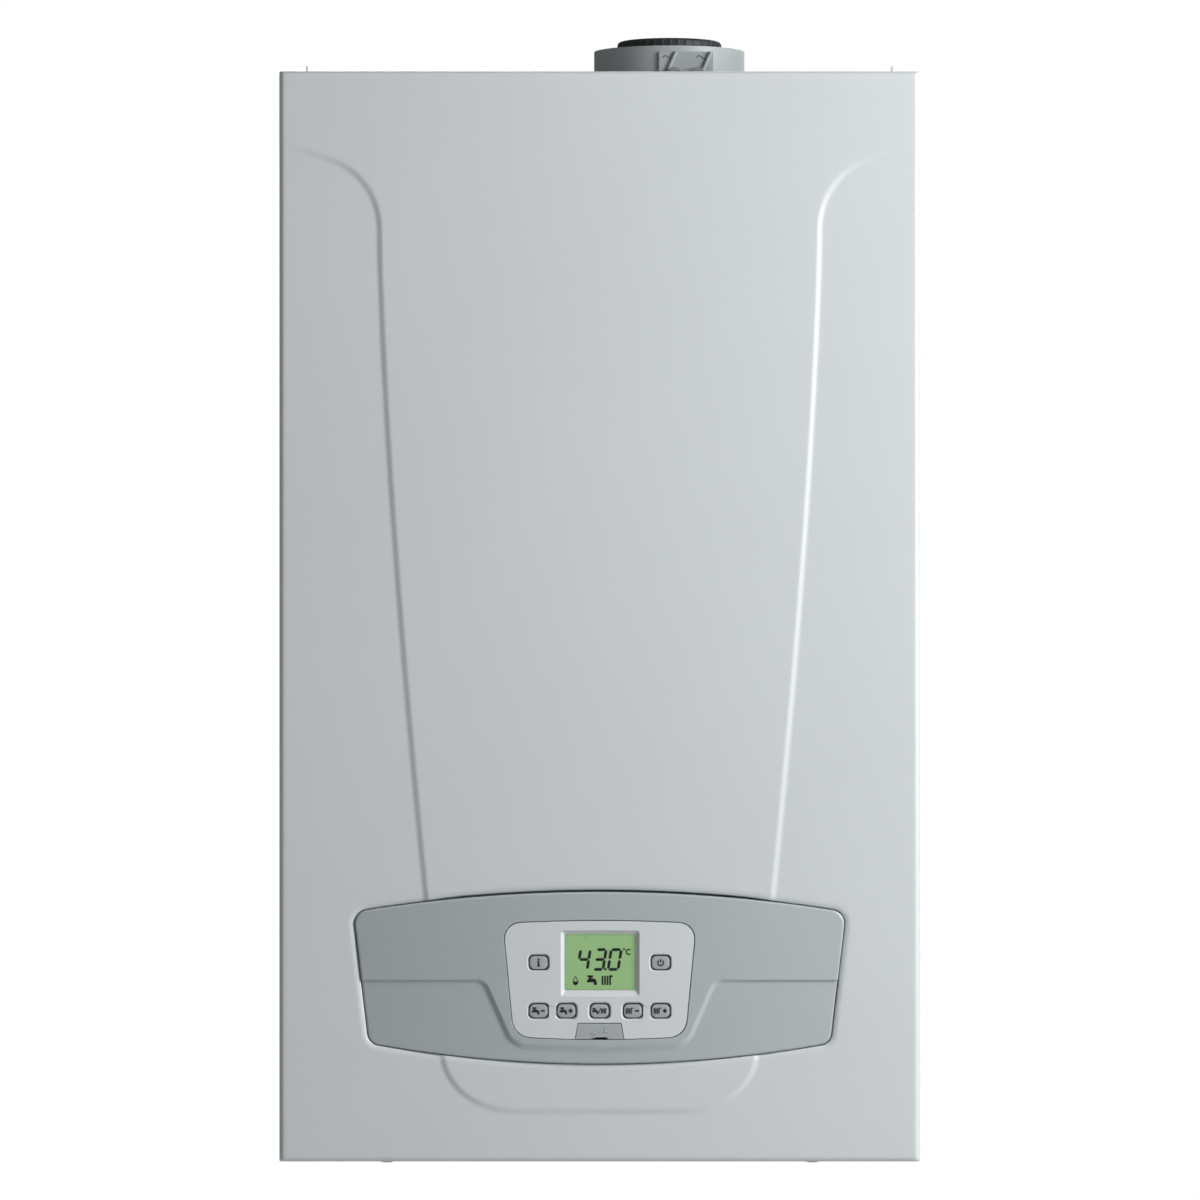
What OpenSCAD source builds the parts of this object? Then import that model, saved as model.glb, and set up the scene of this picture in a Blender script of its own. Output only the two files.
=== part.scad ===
// Wall-hung condensing boiler with its casing, frame, burner group, water group and control box.
// X runs to the right, Y towards the wall, Z up. The origin lies between the hanging slots.
// Places are written as x, d and h: d is the distance out from the wall, h the height above the casing's foot.

/* [Casing] */
// Width of the casing across its front
body_w = 450; // [446:2:470]
// Height of the casing
body_h = 766; // [760:2:790]
// Depth from the wall to the raised middle of the front
body_d = 345; // [345:1:360]
// Sheet thickness of the front casing
casing_t = 1; // [0.8:0.1:1.2]
// Depth of the casing's folded returns
return_d = 36; // [34:1:38]
// Height of the raised shield above the sides of the front
emboss = 4; // [2:0.5:4.5]
// Width of the slope round the shield
ramp = 6; // [4:1:7]
// Half width of the shield just below its shoulders
shield_top_w = 155.4; // [150:0.2:158]
// Half width of the shield where its foot begins to round
shield_foot_w = 108.5; // [104:0.5:112]
// Height of the shield's foot line
shield_foot_h = 36; // [34:0.5:40]
// Bend radius along the casing's edges
edge_r = 4; // [3:0.5:5]

/* [Frame] */
// Sheet thickness of the frame
frame_t = 1.5; // [1.2:0.1:2]
// Sheet thickness of the side panels
side_t = 1; // [0.8:0.1:1.2]
// Width of the side panels' flanges
flange = 14; // [12:1:15]
// Height of the casing's top above the hanging slots
hang_drop = 45; // [40:1:60]
// Distance between the hanging slots
hang_pitch = 300; // [260:10:320]
// Width of a hanging slot
slot_w = 10; // [8:0.5:12]
// Length of a hanging slot
slot_l = 24; // [20:1:30]
// Height of the bottom plate above the casing's foot
plate_h = 12; // [11:0.5:13]
// Distance of a casing hook from the casing's side
hook_inset = 18.5; // [18:0.5:21]
// Height of a casing hook above the casing's top
hook_h = 5.5; // [4:0.5:7]

/* [Flue] */
// Distance of the flue from the middle of the casing
flue_x = 51; // [47:1:55]
// Distance of the flue from the wall
flue_d = 170; // [165:1:175]
// Bore radius of the flue socket
flue_r = 30.25; // [30:0.25:31]
// Wall of the flue pipes
flue_t = 2; // [1.5:0.25:2.5]
// Outer radius of the air collar
collar_r = 55; // [53:0.5:57]
// Wall of the air collar
collar_t = 4; // [3:0.5:4.5]
// Height of the air collar above the top panel
collar_h = 29; // [27:1:32]
// Radius of the hole for a separate air pipe, left of the flue
air_r = 40; // [36:1:42]
// Outer radius of the flue seal
seal_r = 38; // [37:0.5:40]
// Height of the flue seal above the collar
seal_h = 7.6; // [6:0.2:8]

/* [Burner group] */
// Distance of the exchanger's axis below the casing's top
exchanger_drop = 206; // [202:1:212]
// Radius of the exchanger's housing
exchanger_r = 95; // [92:1:96]
// Length of the exchanger's housing
exchanger_l = 152; // [148:1:154]
// Radius of the expansion vessel
vessel_r = 172; // [160:2:174]
// Depth of the expansion vessel
vessel_t = 88; // [80:1:90]
// Radius of the fan's impeller
impeller_r = 48; // [44:1:50]
// Number of impeller blades
blades = 24; // [16:2:28]
// Radius of the burner tube
burner_r = 33; // [30:1:35]
// Number of turns in the exchanger's coil
turns = 12; // [10:1:13]

/* [Water group] */
// Distance between neighbouring pipe connections
stub_pitch = 65; // [64:0.5:66]
// Distance of the pipe connections from the wall
stub_d = 85; // [84:0.5:86]
// How far the pipe connections stand below the casing
stub_drop = 18; // [12:1:22]
// Radius of a three-quarter inch connection
stub_big_r = 13.2; // [13:0.1:13.4]
// Radius of a half inch connection
stub_small_r = 10.5; // [10.3:0.1:10.7]
// Radius of the condensate drain
drain_r = 10.75; // [10:0.25:11]
// Radius of the copper pipes
pipe_r = 9; // [8:0.5:9.5]
// Length of the plate heat exchanger
plate_hx_w = 190; // [180:2:192]
// Number of plates in the plate heat exchanger
plates = 16; // [12:1:16]
// Radius of the pump motor
pump_r = 38; // [36:0.5:39]

/* [Controls] */
// Width of a push button
button_w = 13.8; // [13:0.2:14.4]
// Height of a push button
button_h = 10.4; // [10:0.2:11]
// Travel of a push button
button_travel = 1; // [0.6:0.1:1.2]
// Clearance round a push button
button_gap = 0.3; // [0.2:0.05:0.4]
// Width of the display window
window_w = 49.6; // [46:0.5:50]
// Height of the display window
window_h = 39.4; // [37:0.5:40]
// Room between the control box and the edge of a side panel's flange
box_side = 16; // [15:0.5:19]
// Height of the control box
box_h = 188; // [184:1:194]
// Depth of the control box
box_t = 64; // [60:1:68]
// Height of the fascia's middle above the shield
fascia_rise = 3; // [2:0.5:6]
// Gap between the fascia and the casing
fascia_gap = 1.8; // [1.6:0.1:2.2]
// Wall of the fascia
fascia_t = 2.5; // [2:0.25:3]

/* [Hidden] */
$fn = 48;

// Levels and datums
near = 0.3;
base_z = hang_drop - body_h;
half_w = body_w / 2;
half_in = half_w - side_t;
hook_x = half_w - hook_inset;
box_w = 2 * (half_w - flange - box_side);
side_face = body_d - emboss;
casing_back = body_d - return_d;
gasket_t = 1;
frame_d = casing_back - gasket_t;
top_under = body_h - frame_t;

function at(x, d, h) = [x, -d, base_z + h];

module put(x, d, h) translate(at(x, d, h)) children();

// Two values on both sides of a middle, two counted from a place, and two inside a pair's walls
function span(c, half) = [c - half, c + half];
function from(c, a, b) = [c + a, c + b];
function within(v, wall) = [v[0] + wall, v[1] - wall];

// A box between two values of x, of d and of h
module block(x, d, h)
    translate(at(x[0], d[1], h[0])) cube([x[1] - x[0], d[1] - d[0], h[1] - h[0]]);

// A rod that grows to the right, and one that grows out from the wall
module rod_x(r, l) rotate([0, 90, 0]) cylinder(r = r, h = l);
module rod_out(r, l) rotate([90, 0, 0]) cylinder(r = r, h = l);

// A shape drawn in x and h that grows out from d0 to d1
module face(d0, d1) translate([0, -d0, base_z]) rotate([90, 0, 0]) linear_extrude(d1 - d0) children();

// A shape drawn in d and h that grows from x0 to x1
module flank(x0, x1) translate([x1, 0, base_z]) rotate([90, 0, -90]) linear_extrude(x1 - x0) children();

// A profile of radius and distance that turns round an axis out from the wall
module turned_out() rotate([90, 0, 0]) rotate_extrude() children();

module both_sides() {
    children();
    mirror([1, 0, 0]) children();
}

function arc(c, r, a0, a1, n) = [
    for (i = [0:n]) let (a = a0 + (a1 - a0) * i / n) c + r * [cos(a), sin(a)]];
function mirrored(p) = [for (i = [len(p) - 1:-1:0]) [-p[i][0], p[i][1]]];
function round_rect(w, h, r) = [
    for (q = [[1, 1, 0], [-1, 1, 90], [-1, -1, 180], [1, -1, 270]])
        each arc([q[0] * (w / 2 - r), q[1] * (h / 2 - r)], r, q[2], q[2] + 90, 5)
];
function raised(p, x, h) = [for (q = p) q + [x, h]];

// Tubes swept along a route whose corners are rounded
function unit(v) = v / norm(v);
function bend(a, b, c, r, n) =
    let (u = unit(a - b), v = unit(c - b), half = acos(u * v) / 2, mid = b + unit(u + v) * r / sin(half))
    let (s = unit(b + u * r / tan(half) - mid), e = unit(b + v * r / tan(half) - mid), sweep = acos(s * e))
    [for (i = [0:n]) mid + r * (s * sin(sweep * (1 - i / n)) + e * sin(sweep * i / n)) / sin(sweep)];
function rounded_route(p, r, n) = concat(
    [p[0]], [for (i = [1:len(p) - 2]) each bend(p[i - 1], p[i], p[i + 1], r, n)], [p[len(p) - 1]]);
function heading(p, i) = unit(
    (i == 0 ? [0, 0, 0] : unit(p[i] - p[i - 1])) + (i == len(p) - 1 ? [0, 0, 0] : unit(p[i + 1] - p[i])));
function carried(t, n, i) = i == len(t) ? []
    : let (m = unit(n - (n * t[i]) * t[i])) concat([m], carried(t, m, i + 1));
function tube_rings(p, radii, sides) =
    let (t = [for (i = [0:len(p) - 1]) heading(p, i)], n = carried(t, cross(t[0], [0.3, 0.7, 0.2]), 0))
    [for (i = [0:len(p) - 1], k = [0:sides - 1])
        p[i] + radii[i] * (n[i] * cos(360 * k / sides) + cross(t[i], n[i]) * sin(360 * k / sides))];

module tube(p, radii, sides) {
    last = len(p) - 1;
    polyhedron(
        points = tube_rings(p, radii, sides),
        faces = concat(
            [for (i = [0:last - 1], k = [0:sides - 1]) let (j = (k + 1) % sides)
                [i * sides + k, (i + 1) * sides + k, (i + 1) * sides + j, i * sides + j]],
            [[for (k = [0:sides - 1]) k]],
            [[for (k = [sides - 1:-1:0]) last * sides + k]]));
}

module pipe(p, bend_r, r, sides = 12) {
    route = rounded_route(p, bend_r, 5);
    tube(route, [for (q = route) r], sides);
}

// Panels with arched top and bottom edges, leaning sides and round corners:
// top height, bottom height, top arch radius, bottom arch radius, half width at the top, lean,
// top corner radius, bottom corner radius
fascia_form = [188.9, 69.9, 1050, 931, 173.1, 6.1, 9, 8];
bezel_form = [169.5, 86.6, 1160, 900, 69.9, 8.6, 11, 13];
function side_at(f, h) = f[4] - (f[0] - h) * tan(f[5]);
function panel_outline(f, grow) =
    let (top_mid = [0, f[0] - f[2]], low_mid = [0, f[1] + f[3]])
    let (tx = -(side_at(f, f[0] - 2 * f[6]) - f[6] / cos(f[5])),
        lx = -(side_at(f, f[1] + 2 * f[7]) - f[7] / cos(f[5])))
    let (tc = [tx, top_mid[1] + sqrt(pow(f[2] - f[6], 2) - tx * tx)])
    let (lc = [lx, low_mid[1] - sqrt(pow(f[3] - f[7], 2) - lx * lx)])
    let (ta = 90 + asin(-tx / (f[2] - f[6])), la = 270 - asin(-lx / (f[3] - f[7])), side = 180 + f[5])
    let (left = concat(
        arc(top_mid, f[2] + grow, 90, ta, 6), arc(tc, f[6] + grow, ta + 12, side, 4),
        arc(lc, f[7] + grow, side, la - 12, 4), arc(low_mid, f[3] + grow, la, 270, 6)))
    concat(left, [for (i = [1:len(left) - 2]) mirrored(left)[i]]);

// Front casing
shoulder_h = 656 + body_h - 766;
shoulder_r = 46;
shoulder_turn = 60;
foot_h = shield_foot_h + 32;
foot_w = 60;
fade_start = shoulder_h + 34;
fade_end = shoulder_h + 66;
function eased(t) = let (c = min(max(t, 0), 1)) c * c * (3 - 2 * c);
function side_level(h) = side_face + emboss * eased((h - fade_start) / (fade_end - fade_start));
function shield_level(h) =
    h < shield_foot_h ? side_face + emboss * max(0, (h - shield_foot_h + ramp) / ramp) : body_d;
function shield_side(h) = shield_foot_w
    + (shield_top_w - shield_foot_w) * (1 - pow(1 - (h - foot_h) / (shoulder_h - foot_h), 1.45));
function shield_edge(h, off) =
    let (r = shoulder_r - off, rise = h - shoulder_h, drop = foot_h - h)
    let (full = rise > r * sin(shoulder_turn)
        ? shield_top_w + shoulder_r - r * cos(shoulder_turn)
            + (rise - r * sin(shoulder_turn)) * tan(shoulder_turn)
        : rise > 0 ? shield_top_w + shoulder_r - sqrt(r * r - rise * rise)
        : drop < 0 ? shield_side(h) + off
        : shield_foot_w - foot_w
            + (foot_w + off) * sqrt(max(0, 1 - pow(drop / (foot_h - shield_foot_h + off), 2))))
    min(full, half_w - edge_r - 2 + off / ramp);
casing_bend = [0, 30, 60, 90];
casing_levels = concat(
    [for (a = casing_bend) edge_r * (1 - cos(a))],
    [for (k = [0, 0.5, 1]) shield_foot_h - ramp * (1 - k)],
    [for (a = [20, 34, 48, 62, 76, 90]) foot_h - (foot_h - shield_foot_h) * cos(a)],
    [for (i = [1:12]) foot_h + (shoulder_h - foot_h) * i / 12],
    [for (a = [15:15:shoulder_turn]) shoulder_h + shoulder_r * sin(a)],
    [for (k = [0.25, 0.5, 0.75, 1]) fade_start + 8 + (fade_end - fade_start - 8) * k],
    [for (a = casing_bend) body_h - edge_r * cos(a)]);
function end_gap(h) = min(h, body_h - h);
// One level of the casing's skin, from its left return round the front to its right return
function casing_ring(h, inset) =
    let (r = edge_r - inset, end = end_gap(h) < edge_r ? end_gap(h) * r / edge_r : r,
        back = r - sqrt(r * r - pow(r - end, 2)))
    let (side = side_level(h) - inset - back, mid = shield_level(h) - inset - back, x = half_w - inset)
    let (z = end_gap(h) < edge_r ? (h < body_h / 2 ? inset + end : body_h - inset - end) : h)
    let (left = concat(
        [[-x, casing_back]], arc([-x + r, side - r], r, 180, 90, 3),
        [[-shield_edge(h, ramp), side], [-shield_edge(h, 0), mid]]))
    [for (q = concat(left, mirrored(left))) at(q[0], q[1], z)];
module casing_sheet() {
    rings = len(casing_levels);
    n = len(casing_ring(0, 0));
    skin = rings * n;
    top = (rings - 1) * n;
    polyhedron(
        points = concat(
            [for (h = casing_levels) each casing_ring(h, 0)],
            [for (h = casing_levels) each casing_ring(h, casing_t)]),
        faces = concat(
            [for (i = [0:rings - 2], j = [0:n - 2]) let (a = i * n + j) each
                [[a, a + n, a + n + 1], [a, a + n + 1, a + 1]]],
            [for (i = [0:rings - 2], j = [0:n - 2]) let (a = skin + i * n + j) each
                [[a, a + n + 1, a + n], [a, a + 1, a + n + 1]]],
            [for (i = [0:rings - 2]) let (a = i * n, b = a + n - 1) each
                [[a, skin + a, skin + a + n, a + n], [skin + b, b, b + n, skin + b + n]]],
            [[for (j = [0:n - 1]) j], [for (j = [n - 1:-1:0]) top + j]],
            [[for (j = [n - 1:-1:0]) skin + j], [for (j = [0:n - 1]) skin + top + j]],
            [[0, n - 1, skin + n - 1, skin], [skin + top, skin + top + n - 1, top + n - 1, top]]));
}
lip_d = 5;
lip_back = side_face - lip_d;
lip_fold = [130, 180, 210];
hook_slit = 2.4;
hook_reach = 17;
screw_x = 150;
screw_d = casing_back + 13;
screw_r = 2;
module casing_lip() {
    face(lip_back, side_face - casing_t / 2) difference() {
        polygon(panel_outline(fascia_form, fascia_gap + casing_t));
        polygon(panel_outline(fascia_form, fascia_gap));
    }
    face(lip_back, body_d - casing_t / 2) intersection() {
        difference() {
            polygon(panel_outline(fascia_form, fascia_gap + casing_t));
            polygon(panel_outline(fascia_form, fascia_gap));
        }
        union() {
            translate([-shield_foot_w + 2, 0]) square([2 * shield_foot_w - 4, lip_fold[0]]);
            translate([-shield_edge(lip_fold[1], 0) + 1, lip_fold[0]])
                square([2 * shield_edge(lip_fold[1], 0) - 2, lip_fold[2] - lip_fold[0]]);
        }
    }
}
module front_casing() color("#c8cdcf") difference() {
    union() {
        difference() {
            casing_sheet();
            face(lip_back - 1, body_d + 1) polygon(panel_outline(fascia_form, fascia_gap + casing_t / 2));
        }
        casing_lip();
    }
    both_sides() {
        block(span(hook_x, hook_slit / 2), [casing_back - 1, casing_back + hook_reach], from(body_h, -2, 1));
        put(screw_x, screw_d, -1) cylinder(r = screw_r + 0.2, h = 4);
    }
}

gasket_w = 8;
gasket_inset = 0.5;
module casing_gasket() color("#55595b") difference() {
    block(span(0, half_w - gasket_inset), [frame_d, casing_back], [gasket_inset, body_h - gasket_inset]);
    block(span(0, half_w - gasket_w), [frame_d - 1, casing_back + 1], [gasket_w, body_h - gasket_w]);
    both_sides() {
        block(span(hook_x, hook_slit / 2), [frame_d - 1, casing_back + 1], from(body_h, -gasket_w - 1, 1));
        block(span(screw_x, tab_half + 2), [frame_d - 1, casing_back + 1], [0, 5]);
    }
}

tab_t = 1.5;
tab_half = 12;
screw_l = 8;
tab_low = casing_t + near;
head_t = 1.9;
head_r = 4;
nut_t = 3.2;
module casing_screws() color("silver") both_sides() {
    put(screw_x, screw_d, -head_t) cylinder(r = head_r, h = head_t);
    put(screw_x, screw_d, -0.1) cylinder(r = screw_r, h = screw_l);
    put(screw_x, screw_d, tab_low + tab_t + 0.1) difference() {
        cylinder(r = head_r, h = nut_t, $fn = 6);
        translate([0, 0, -1]) cylinder(r = screw_r + 0.05, h = 6);
    }
}

// Frame
side_front_d = frame_d - side_t;
top_half_w = half_w - flange - near;
top_fold = flange + 8;
module side_panel() color("#d3d8da") {
    block([half_in, half_w], [0, frame_d], [0, body_h]);
    block([half_w - flange, half_w], [side_front_d, frame_d], [0, body_h]);
    block([half_w - flange, half_in], [frame_t + near, frame_d], [top_under - side_t, top_under]);
}
module side_panel_right() side_panel();
module side_panel_left() mirror([1, 0, 0]) side_panel();

air_x = flue_x - 140;
hook_t = 1.2;
collar_in = collar_r - collar_t;
// Screws of the flue adaptor and of the air cover, from the flue's axis
adaptor_screws = [for (a = [45:90:315]) (collar_r + 8) * [cos(a), sin(a)]];
cover_screws = [for (a = [90:120:330]) (air_r + 5) * [cos(a), sin(a)]];
screw_hole_r = 2.1;
top_screws = concat(adaptor_screws, [for (q = cover_screws) q + [air_x - flue_x, 0]]);
module top_panel() color("#d3d8da") {
    difference() {
        union() {
            block([-top_half_w, top_half_w], [0, frame_d], [top_under, body_h]);
            block([-half_in + near, half_in - near], [0, side_front_d - near], [top_under, body_h]);
            block([-top_half_w, top_half_w], [frame_d - frame_t, frame_d], [body_h - top_fold, body_h]);
        }
        put(flue_x, flue_d, top_under - 1) cylinder(r = collar_in - 1, h = 4);
        put(air_x, flue_d, top_under - 1) cylinder(r = air_r, h = 4);
        for (q = top_screws) put(flue_x + q[0], flue_d + q[1], top_under - 1) cylinder(r = screw_hole_r, h = 4);
    }
    both_sides() flank(hook_x - hook_t / 2, hook_x + hook_t / 2)
        polygon(raised([[0, -18], [12, -12], [14, hook_h], [6, hook_h], [4, -2], [0, -2]], frame_d, body_h));
}

plate_t = frame_t;
plate_top = plate_h + plate_t;
module hanging_slot() {
    block(span(0, (slot_l - slot_w) / 2), [-1, 3], span(-base_z, slot_w / 2));
    for (s = [-1, 1]) put(s * (slot_l - slot_w) / 2, -1, -base_z) rod_out(slot_w / 2, 4);
}
vessel_x = -20;
vessel_h = body_h - exchanger_drop;
vessel_low = vessel_h - vessel_r;
vessel_gap = 4;
low_slot_x = half_in - 28;
low_slot_w = 12;
low_slot_h = [60, 120];
back_fold = 20;
cradle_x = 70;
cradle_h = [-34, -6, 60];
clip_half = 20;
rim_lip = 4;
rim_t = 8;
grip_d = vessel_gap + vessel_t / 2 + 8;
rim_slot_d = vessel_gap + vessel_t / 2 - 5;
module back_frame() color("#c4c9cb") {
    difference() {
        block([-half_in, half_in], [0, frame_t], [0, top_under]);
        for (s = [-1, 1]) translate([s * hang_pitch / 2, 0, 0]) hanging_slot();
        for (s = [-1, 1]) block(span(s * low_slot_x, low_slot_w / 2), [-1, 3], low_slot_h);
    }
    both_sides()
        block([half_in - frame_t, half_in], [frame_t, back_fold], [plate_top + 2, top_under - side_t - 2]);
    // Cradles that hold the expansion vessel by its rim
    for (s = [-1, 1]) difference() {
        flank(vessel_x + s * cradle_x, vessel_x + s * cradle_x + frame_t) polygon([
            [frame_t - 0.2, vessel_low + cradle_h[0]], [frame_t - 0.2, vessel_low + cradle_h[2]],
            [grip_d, vessel_low + cradle_h[2]], [grip_d, vessel_low + cradle_h[1]]]);
        put(vessel_x, 0, vessel_h) rod_out(vessel_r - rim_lip + near, 120);
        put(vessel_x, rim_slot_d, vessel_h) rod_out(vessel_r + near, rim_t + 2);
    }
    // Clip over the vessel's top
    difference() {
        block(span(vessel_x, clip_half), [frame_t - 0.2, grip_d], from(vessel_h + vessel_r, -10, 4));
        put(vessel_x, 0, vessel_h) rod_out(vessel_r - rim_lip + near, 120);
        put(vessel_x, rim_slot_d, vessel_h) rod_out(vessel_r + near, rim_t + 2);
    }
}

stub_x = [for (i = [-2:2]) i * stub_pitch];
hinge_d = side_face - 15;
hinge_h = 36;
hinge_pin_r = 4;
lug_x = box_w / 2 + 2;
lug_t = 2;
gauge_x = -165;
gauge_d = 225;
gauge_r = 20;
relief_x = 172;
relief_d = 122;
relief_h = 43;
relief_r = 7.5;
relief_low = -8;
relief_nut_h = 18;
filling_x = 98;
filling_d = 130;
filling_stem_r = 5;
hole_gap = 2;
drain_x = 32;
drain_d = 175;
gland_x = -185;
gland_d = 150;
gland_r = 4.5;
module bottom_plate() color("#c4c9cb") {
    difference() {
        union() {
            block([-half_in + near, half_in - near], [frame_t, side_front_d - near], [plate_h, plate_top]);
            block([-top_half_w, top_half_w], [frame_t, frame_d], [plate_h, plate_top]);
            block([-top_half_w, top_half_w], [frame_d - frame_t, frame_d], [tab_low, plate_top]);
            both_sides() block([half_in - frame_t, half_in], [back_fold + 5, side_front_d - near],
                [plate_h, plate_top + 16]);
            put(gland_x, gland_d, plate_h - 5) cylinder(r = gland_r + 4, h = 12);
            // Lug plates for the control box's hinge
            both_sides() flank(lug_x, lug_x + lug_t) polygon([
                [frame_d - 23, plate_h + 0.5], [frame_d - 2, plate_h + 0.5], [hinge_d + 8, hinge_h - 8],
                [hinge_d + 8, hinge_h + 8], [hinge_d - 8, hinge_h + 8], [frame_d - 23, hinge_h - 6]]);
            both_sides()
                block(span(screw_x, tab_half), [frame_d - 0.5, casing_back + 23], from(tab_low, 0, tab_t));
        }
        for (i = [0, 2, 4]) put(stub_x[i], stub_d, 5) cylinder(r = stub_big_r + hole_gap, h = 12);
        for (i = [1, 3]) put(stub_x[i], stub_d, 5) cylinder(r = stub_small_r + hole_gap, h = 12);
        put(gauge_x, gauge_d, 5) cylinder(r = gauge_r + near, h = 12);
        put(relief_x, relief_d, 5) cylinder(r = relief_r + hole_gap, h = 12);
        put(filling_x, filling_d, 5) cylinder(r = filling_stem_r + hole_gap + 1, h = 12);
        put(drain_x, drain_d, 5) cylinder(r = drain_r + hole_gap, h = 12);
        put(gland_x, gland_d, 0) cylinder(r = gland_r, h = 30);
        both_sides() {
            put(lug_x - 1, hinge_d, hinge_h) rod_x(hinge_pin_r + 0.05, 4);
            put(screw_x, screw_d, 0) cylinder(r = screw_r + 0.3, h = 4);
            block(span(screw_x, screw_r + 0.3), [screw_d, casing_back + 24], [0, 4]);
        }
    }
}

exchanger_h = body_h - exchanger_drop;
exchanger_back = vessel_gap + vessel_t + 6;
exchanger_front = exchanger_back + exchanger_l;
rail_d = [184, 200];
rail_top = exchanger_h - exchanger_r - 3;
low_rail_top = 330;
rail_h = 30;
foot_offset = 60;
foot_half = 12;
module support_rail(h) difference() {
    block([-half_in, half_in], rail_d, [h - rail_h, h]);
    block(span(0, half_in + 1), [rail_d[0] - 1, rail_d[1] - frame_t], from(h, frame_t - rail_h, -frame_t));
}
module support_rails() color("#b9bec0") {
    difference() {
        support_rail(rail_top);
        for (s = [-1, 1])
            put(flue_x + s * foot_offset, rail_d[0] + 8, rail_top - 3) cylinder(r = screw_hole_r, h = 6);
    }
    support_rail(low_rail_top);
}

// Flue
adaptor_flange_r = 70;
collar_band = 4.6;
port_mid = 11.5;
port_x_offsets = [port_mid - 8.5, port_mid + 8.5];
port_h = 8;
pad_t = 1.5;
pad_half = 19.5;
rib_x = 12.6;
rib_t = 1.3;
rib_form = [[0.5, 13.2], [3.9, 13.2], [6.6, 22.6], [3.6, 22.6]];
spoke_w = 6;
socket_low = 30;
port_r = 3.05;
cap_r = 4.8;
cap_t = 6;
adaptor_t = 3;
module pan_head(r) {
    cylinder(r = r, h = 2.2);
    translate([0, 0, -4]) cylinder(r = r / 2, h = 4.1);
}
cover_r = air_r + 10;
knob_r = 14;
module frame_screws() color("silver") {
    for (q = top_screws) put(flue_x + q[0], flue_d + q[1], body_h + adaptor_t) pan_head(3.6);
    for (s = [-1, 1]) put(s * foot_offset + flue_x, rail_d[0] + 8, rail_top + 3) pan_head(4);
}

flue_out = flue_r + 4;
muff_h = 14;
tube_top = body_h + collar_h;
module flue_adaptor() color("#8f9497") difference() {
    union() {
        put(flue_x, flue_d, body_h) cylinder(r = adaptor_flange_r, h = adaptor_t);
        put(flue_x, flue_d, body_h) cylinder(r = collar_r, h = collar_h, $fn = 72);
        // Flat pad on the collar's front that holds the sampling ports
        block(span(flue_x + port_mid, pad_half), [flue_d + 40, flue_d + collar_r + pad_t],
            [body_h, body_h + collar_h - collar_band]);
        // Slanting ribs on the pad
        for (x = [-rib_x, rib_x]) face(flue_d + collar_r, flue_d + collar_r + pad_t + rib_t) polygon(
            raised(rib_form, flue_x + port_mid + x, body_h));
    }
    difference() {
        put(flue_x, flue_d, body_h - 1) cylinder(r = collar_in, h = collar_h + 2);
        put(flue_x, flue_d, body_h - 2) cylinder(r = flue_out, h = collar_h + 4);
        for (a = [0, 90]) put(flue_x, flue_d, body_h + adaptor_t / 2) rotate([0, 0, a])
            cube([2 * collar_in + 2, spoke_w, adaptor_t], center = true);
    }
    put(flue_x, flue_d, body_h - socket_low) cylinder(r = flue_r, h = socket_low + 50);
    for (x = port_x_offsets) put(flue_x + x, flue_d + collar_in - 14, body_h + port_h) rod_out(port_r, 24);
    for (q = adaptor_screws) put(flue_x + q[0], flue_d + q[1], body_h - 1) cylinder(r = screw_hole_r, h = 6);
}
module flue_pipe() color("#c9cdd0") put(flue_x, flue_d, exchanger_h + exchanger_r - 2) {
    rise = body_h - exchanger_h - exchanger_r;
    difference() {
        union() {
            cylinder(r = flue_r - near, h = rise);
            translate([0, 0, rise - muff_h]) cylinder(r = flue_out, h = muff_h);
        }
        translate([0, 0, -1]) cylinder(r = flue_r - flue_t, h = rise + 2);
    }
}
module flue_seal() color("#222527") put(flue_x, flue_d, tube_top) rotate_extrude($fn = 72) polygon(concat(
    [[flue_out, -6], [seal_r, -6]], arc([seal_r - 3, seal_h - 3], 3, 0, 90, 4),
    [[flue_r + 0.6, seal_h], [flue_r + 0.4, 0], [flue_out, 0]]));
module sampling_caps() color("#6f7477") for (x = port_x_offsets)
    put(flue_x + x, flue_d + collar_r + pad_t, body_h + port_h) {
        rod_out(cap_r, cap_t);
        translate([0, 10, 0]) rod_out(port_r - 0.05, 11);
    }
module air_cover() color("#8f9497") put(air_x, flue_d, body_h) {
    difference() {
        cylinder(r = cover_r, h = adaptor_t);
        for (q = cover_screws) translate([q[0], -q[1], -1]) cylinder(r = screw_hole_r, h = 6);
    }
    translate([0, 0, -6]) difference() {
        cylinder(r = air_r - near, h = 6.1);
        translate([0, 0, -1]) cylinder(r = air_r - near - 2, h = 7);
    }
    translate([0, 0, adaptor_t - 0.1]) cylinder(r = knob_r, h = 2);
}

// Expansion vessel
function pan(r, rim, t, c) = concat(
    [[0, 0]], arc([r - c, c], c, 270, 360, 5),
    [[r, (t - rim_t) / 2], [rim, (t - rim_t) / 2], [rim, (t + rim_t) / 2], [r, (t + rim_t) / 2]],
    arc([r - c, t - c], c, 0, 90, 5), [[0, t]]);
vessel_wall = 2;
vessel_bend = 22;
vessel_port_x = 40;
vessel_port_h = 430;
vessel_port_r = 9;
vessel_hose_x = 56;
vessel_hose_d = 120;
vessel_hose_h = [220, 130];
vessel_hose_r = 5;
module expansion_vessel() color("#b3342c") {
    r = vessel_bend - vessel_wall;
    x = vessel_r - rim_lip - vessel_bend;
    t = vessel_t - 2 * vessel_wall;
    put(vessel_x, vessel_gap, vessel_h) turned_out() difference() {
        polygon(pan(vessel_r - rim_lip, vessel_r, vessel_t, vessel_bend));
        translate([0, vessel_wall])
            polygon(concat([[0, 0]], arc([x, r], r, 270, 360, 5), arc([x, t - r], r, 0, 90, 5), [[0, t]]));
    }
    put(vessel_port_x, vessel_gap + vessel_t - 1, vessel_port_h) rod_out(vessel_port_r, 7);
}
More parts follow.
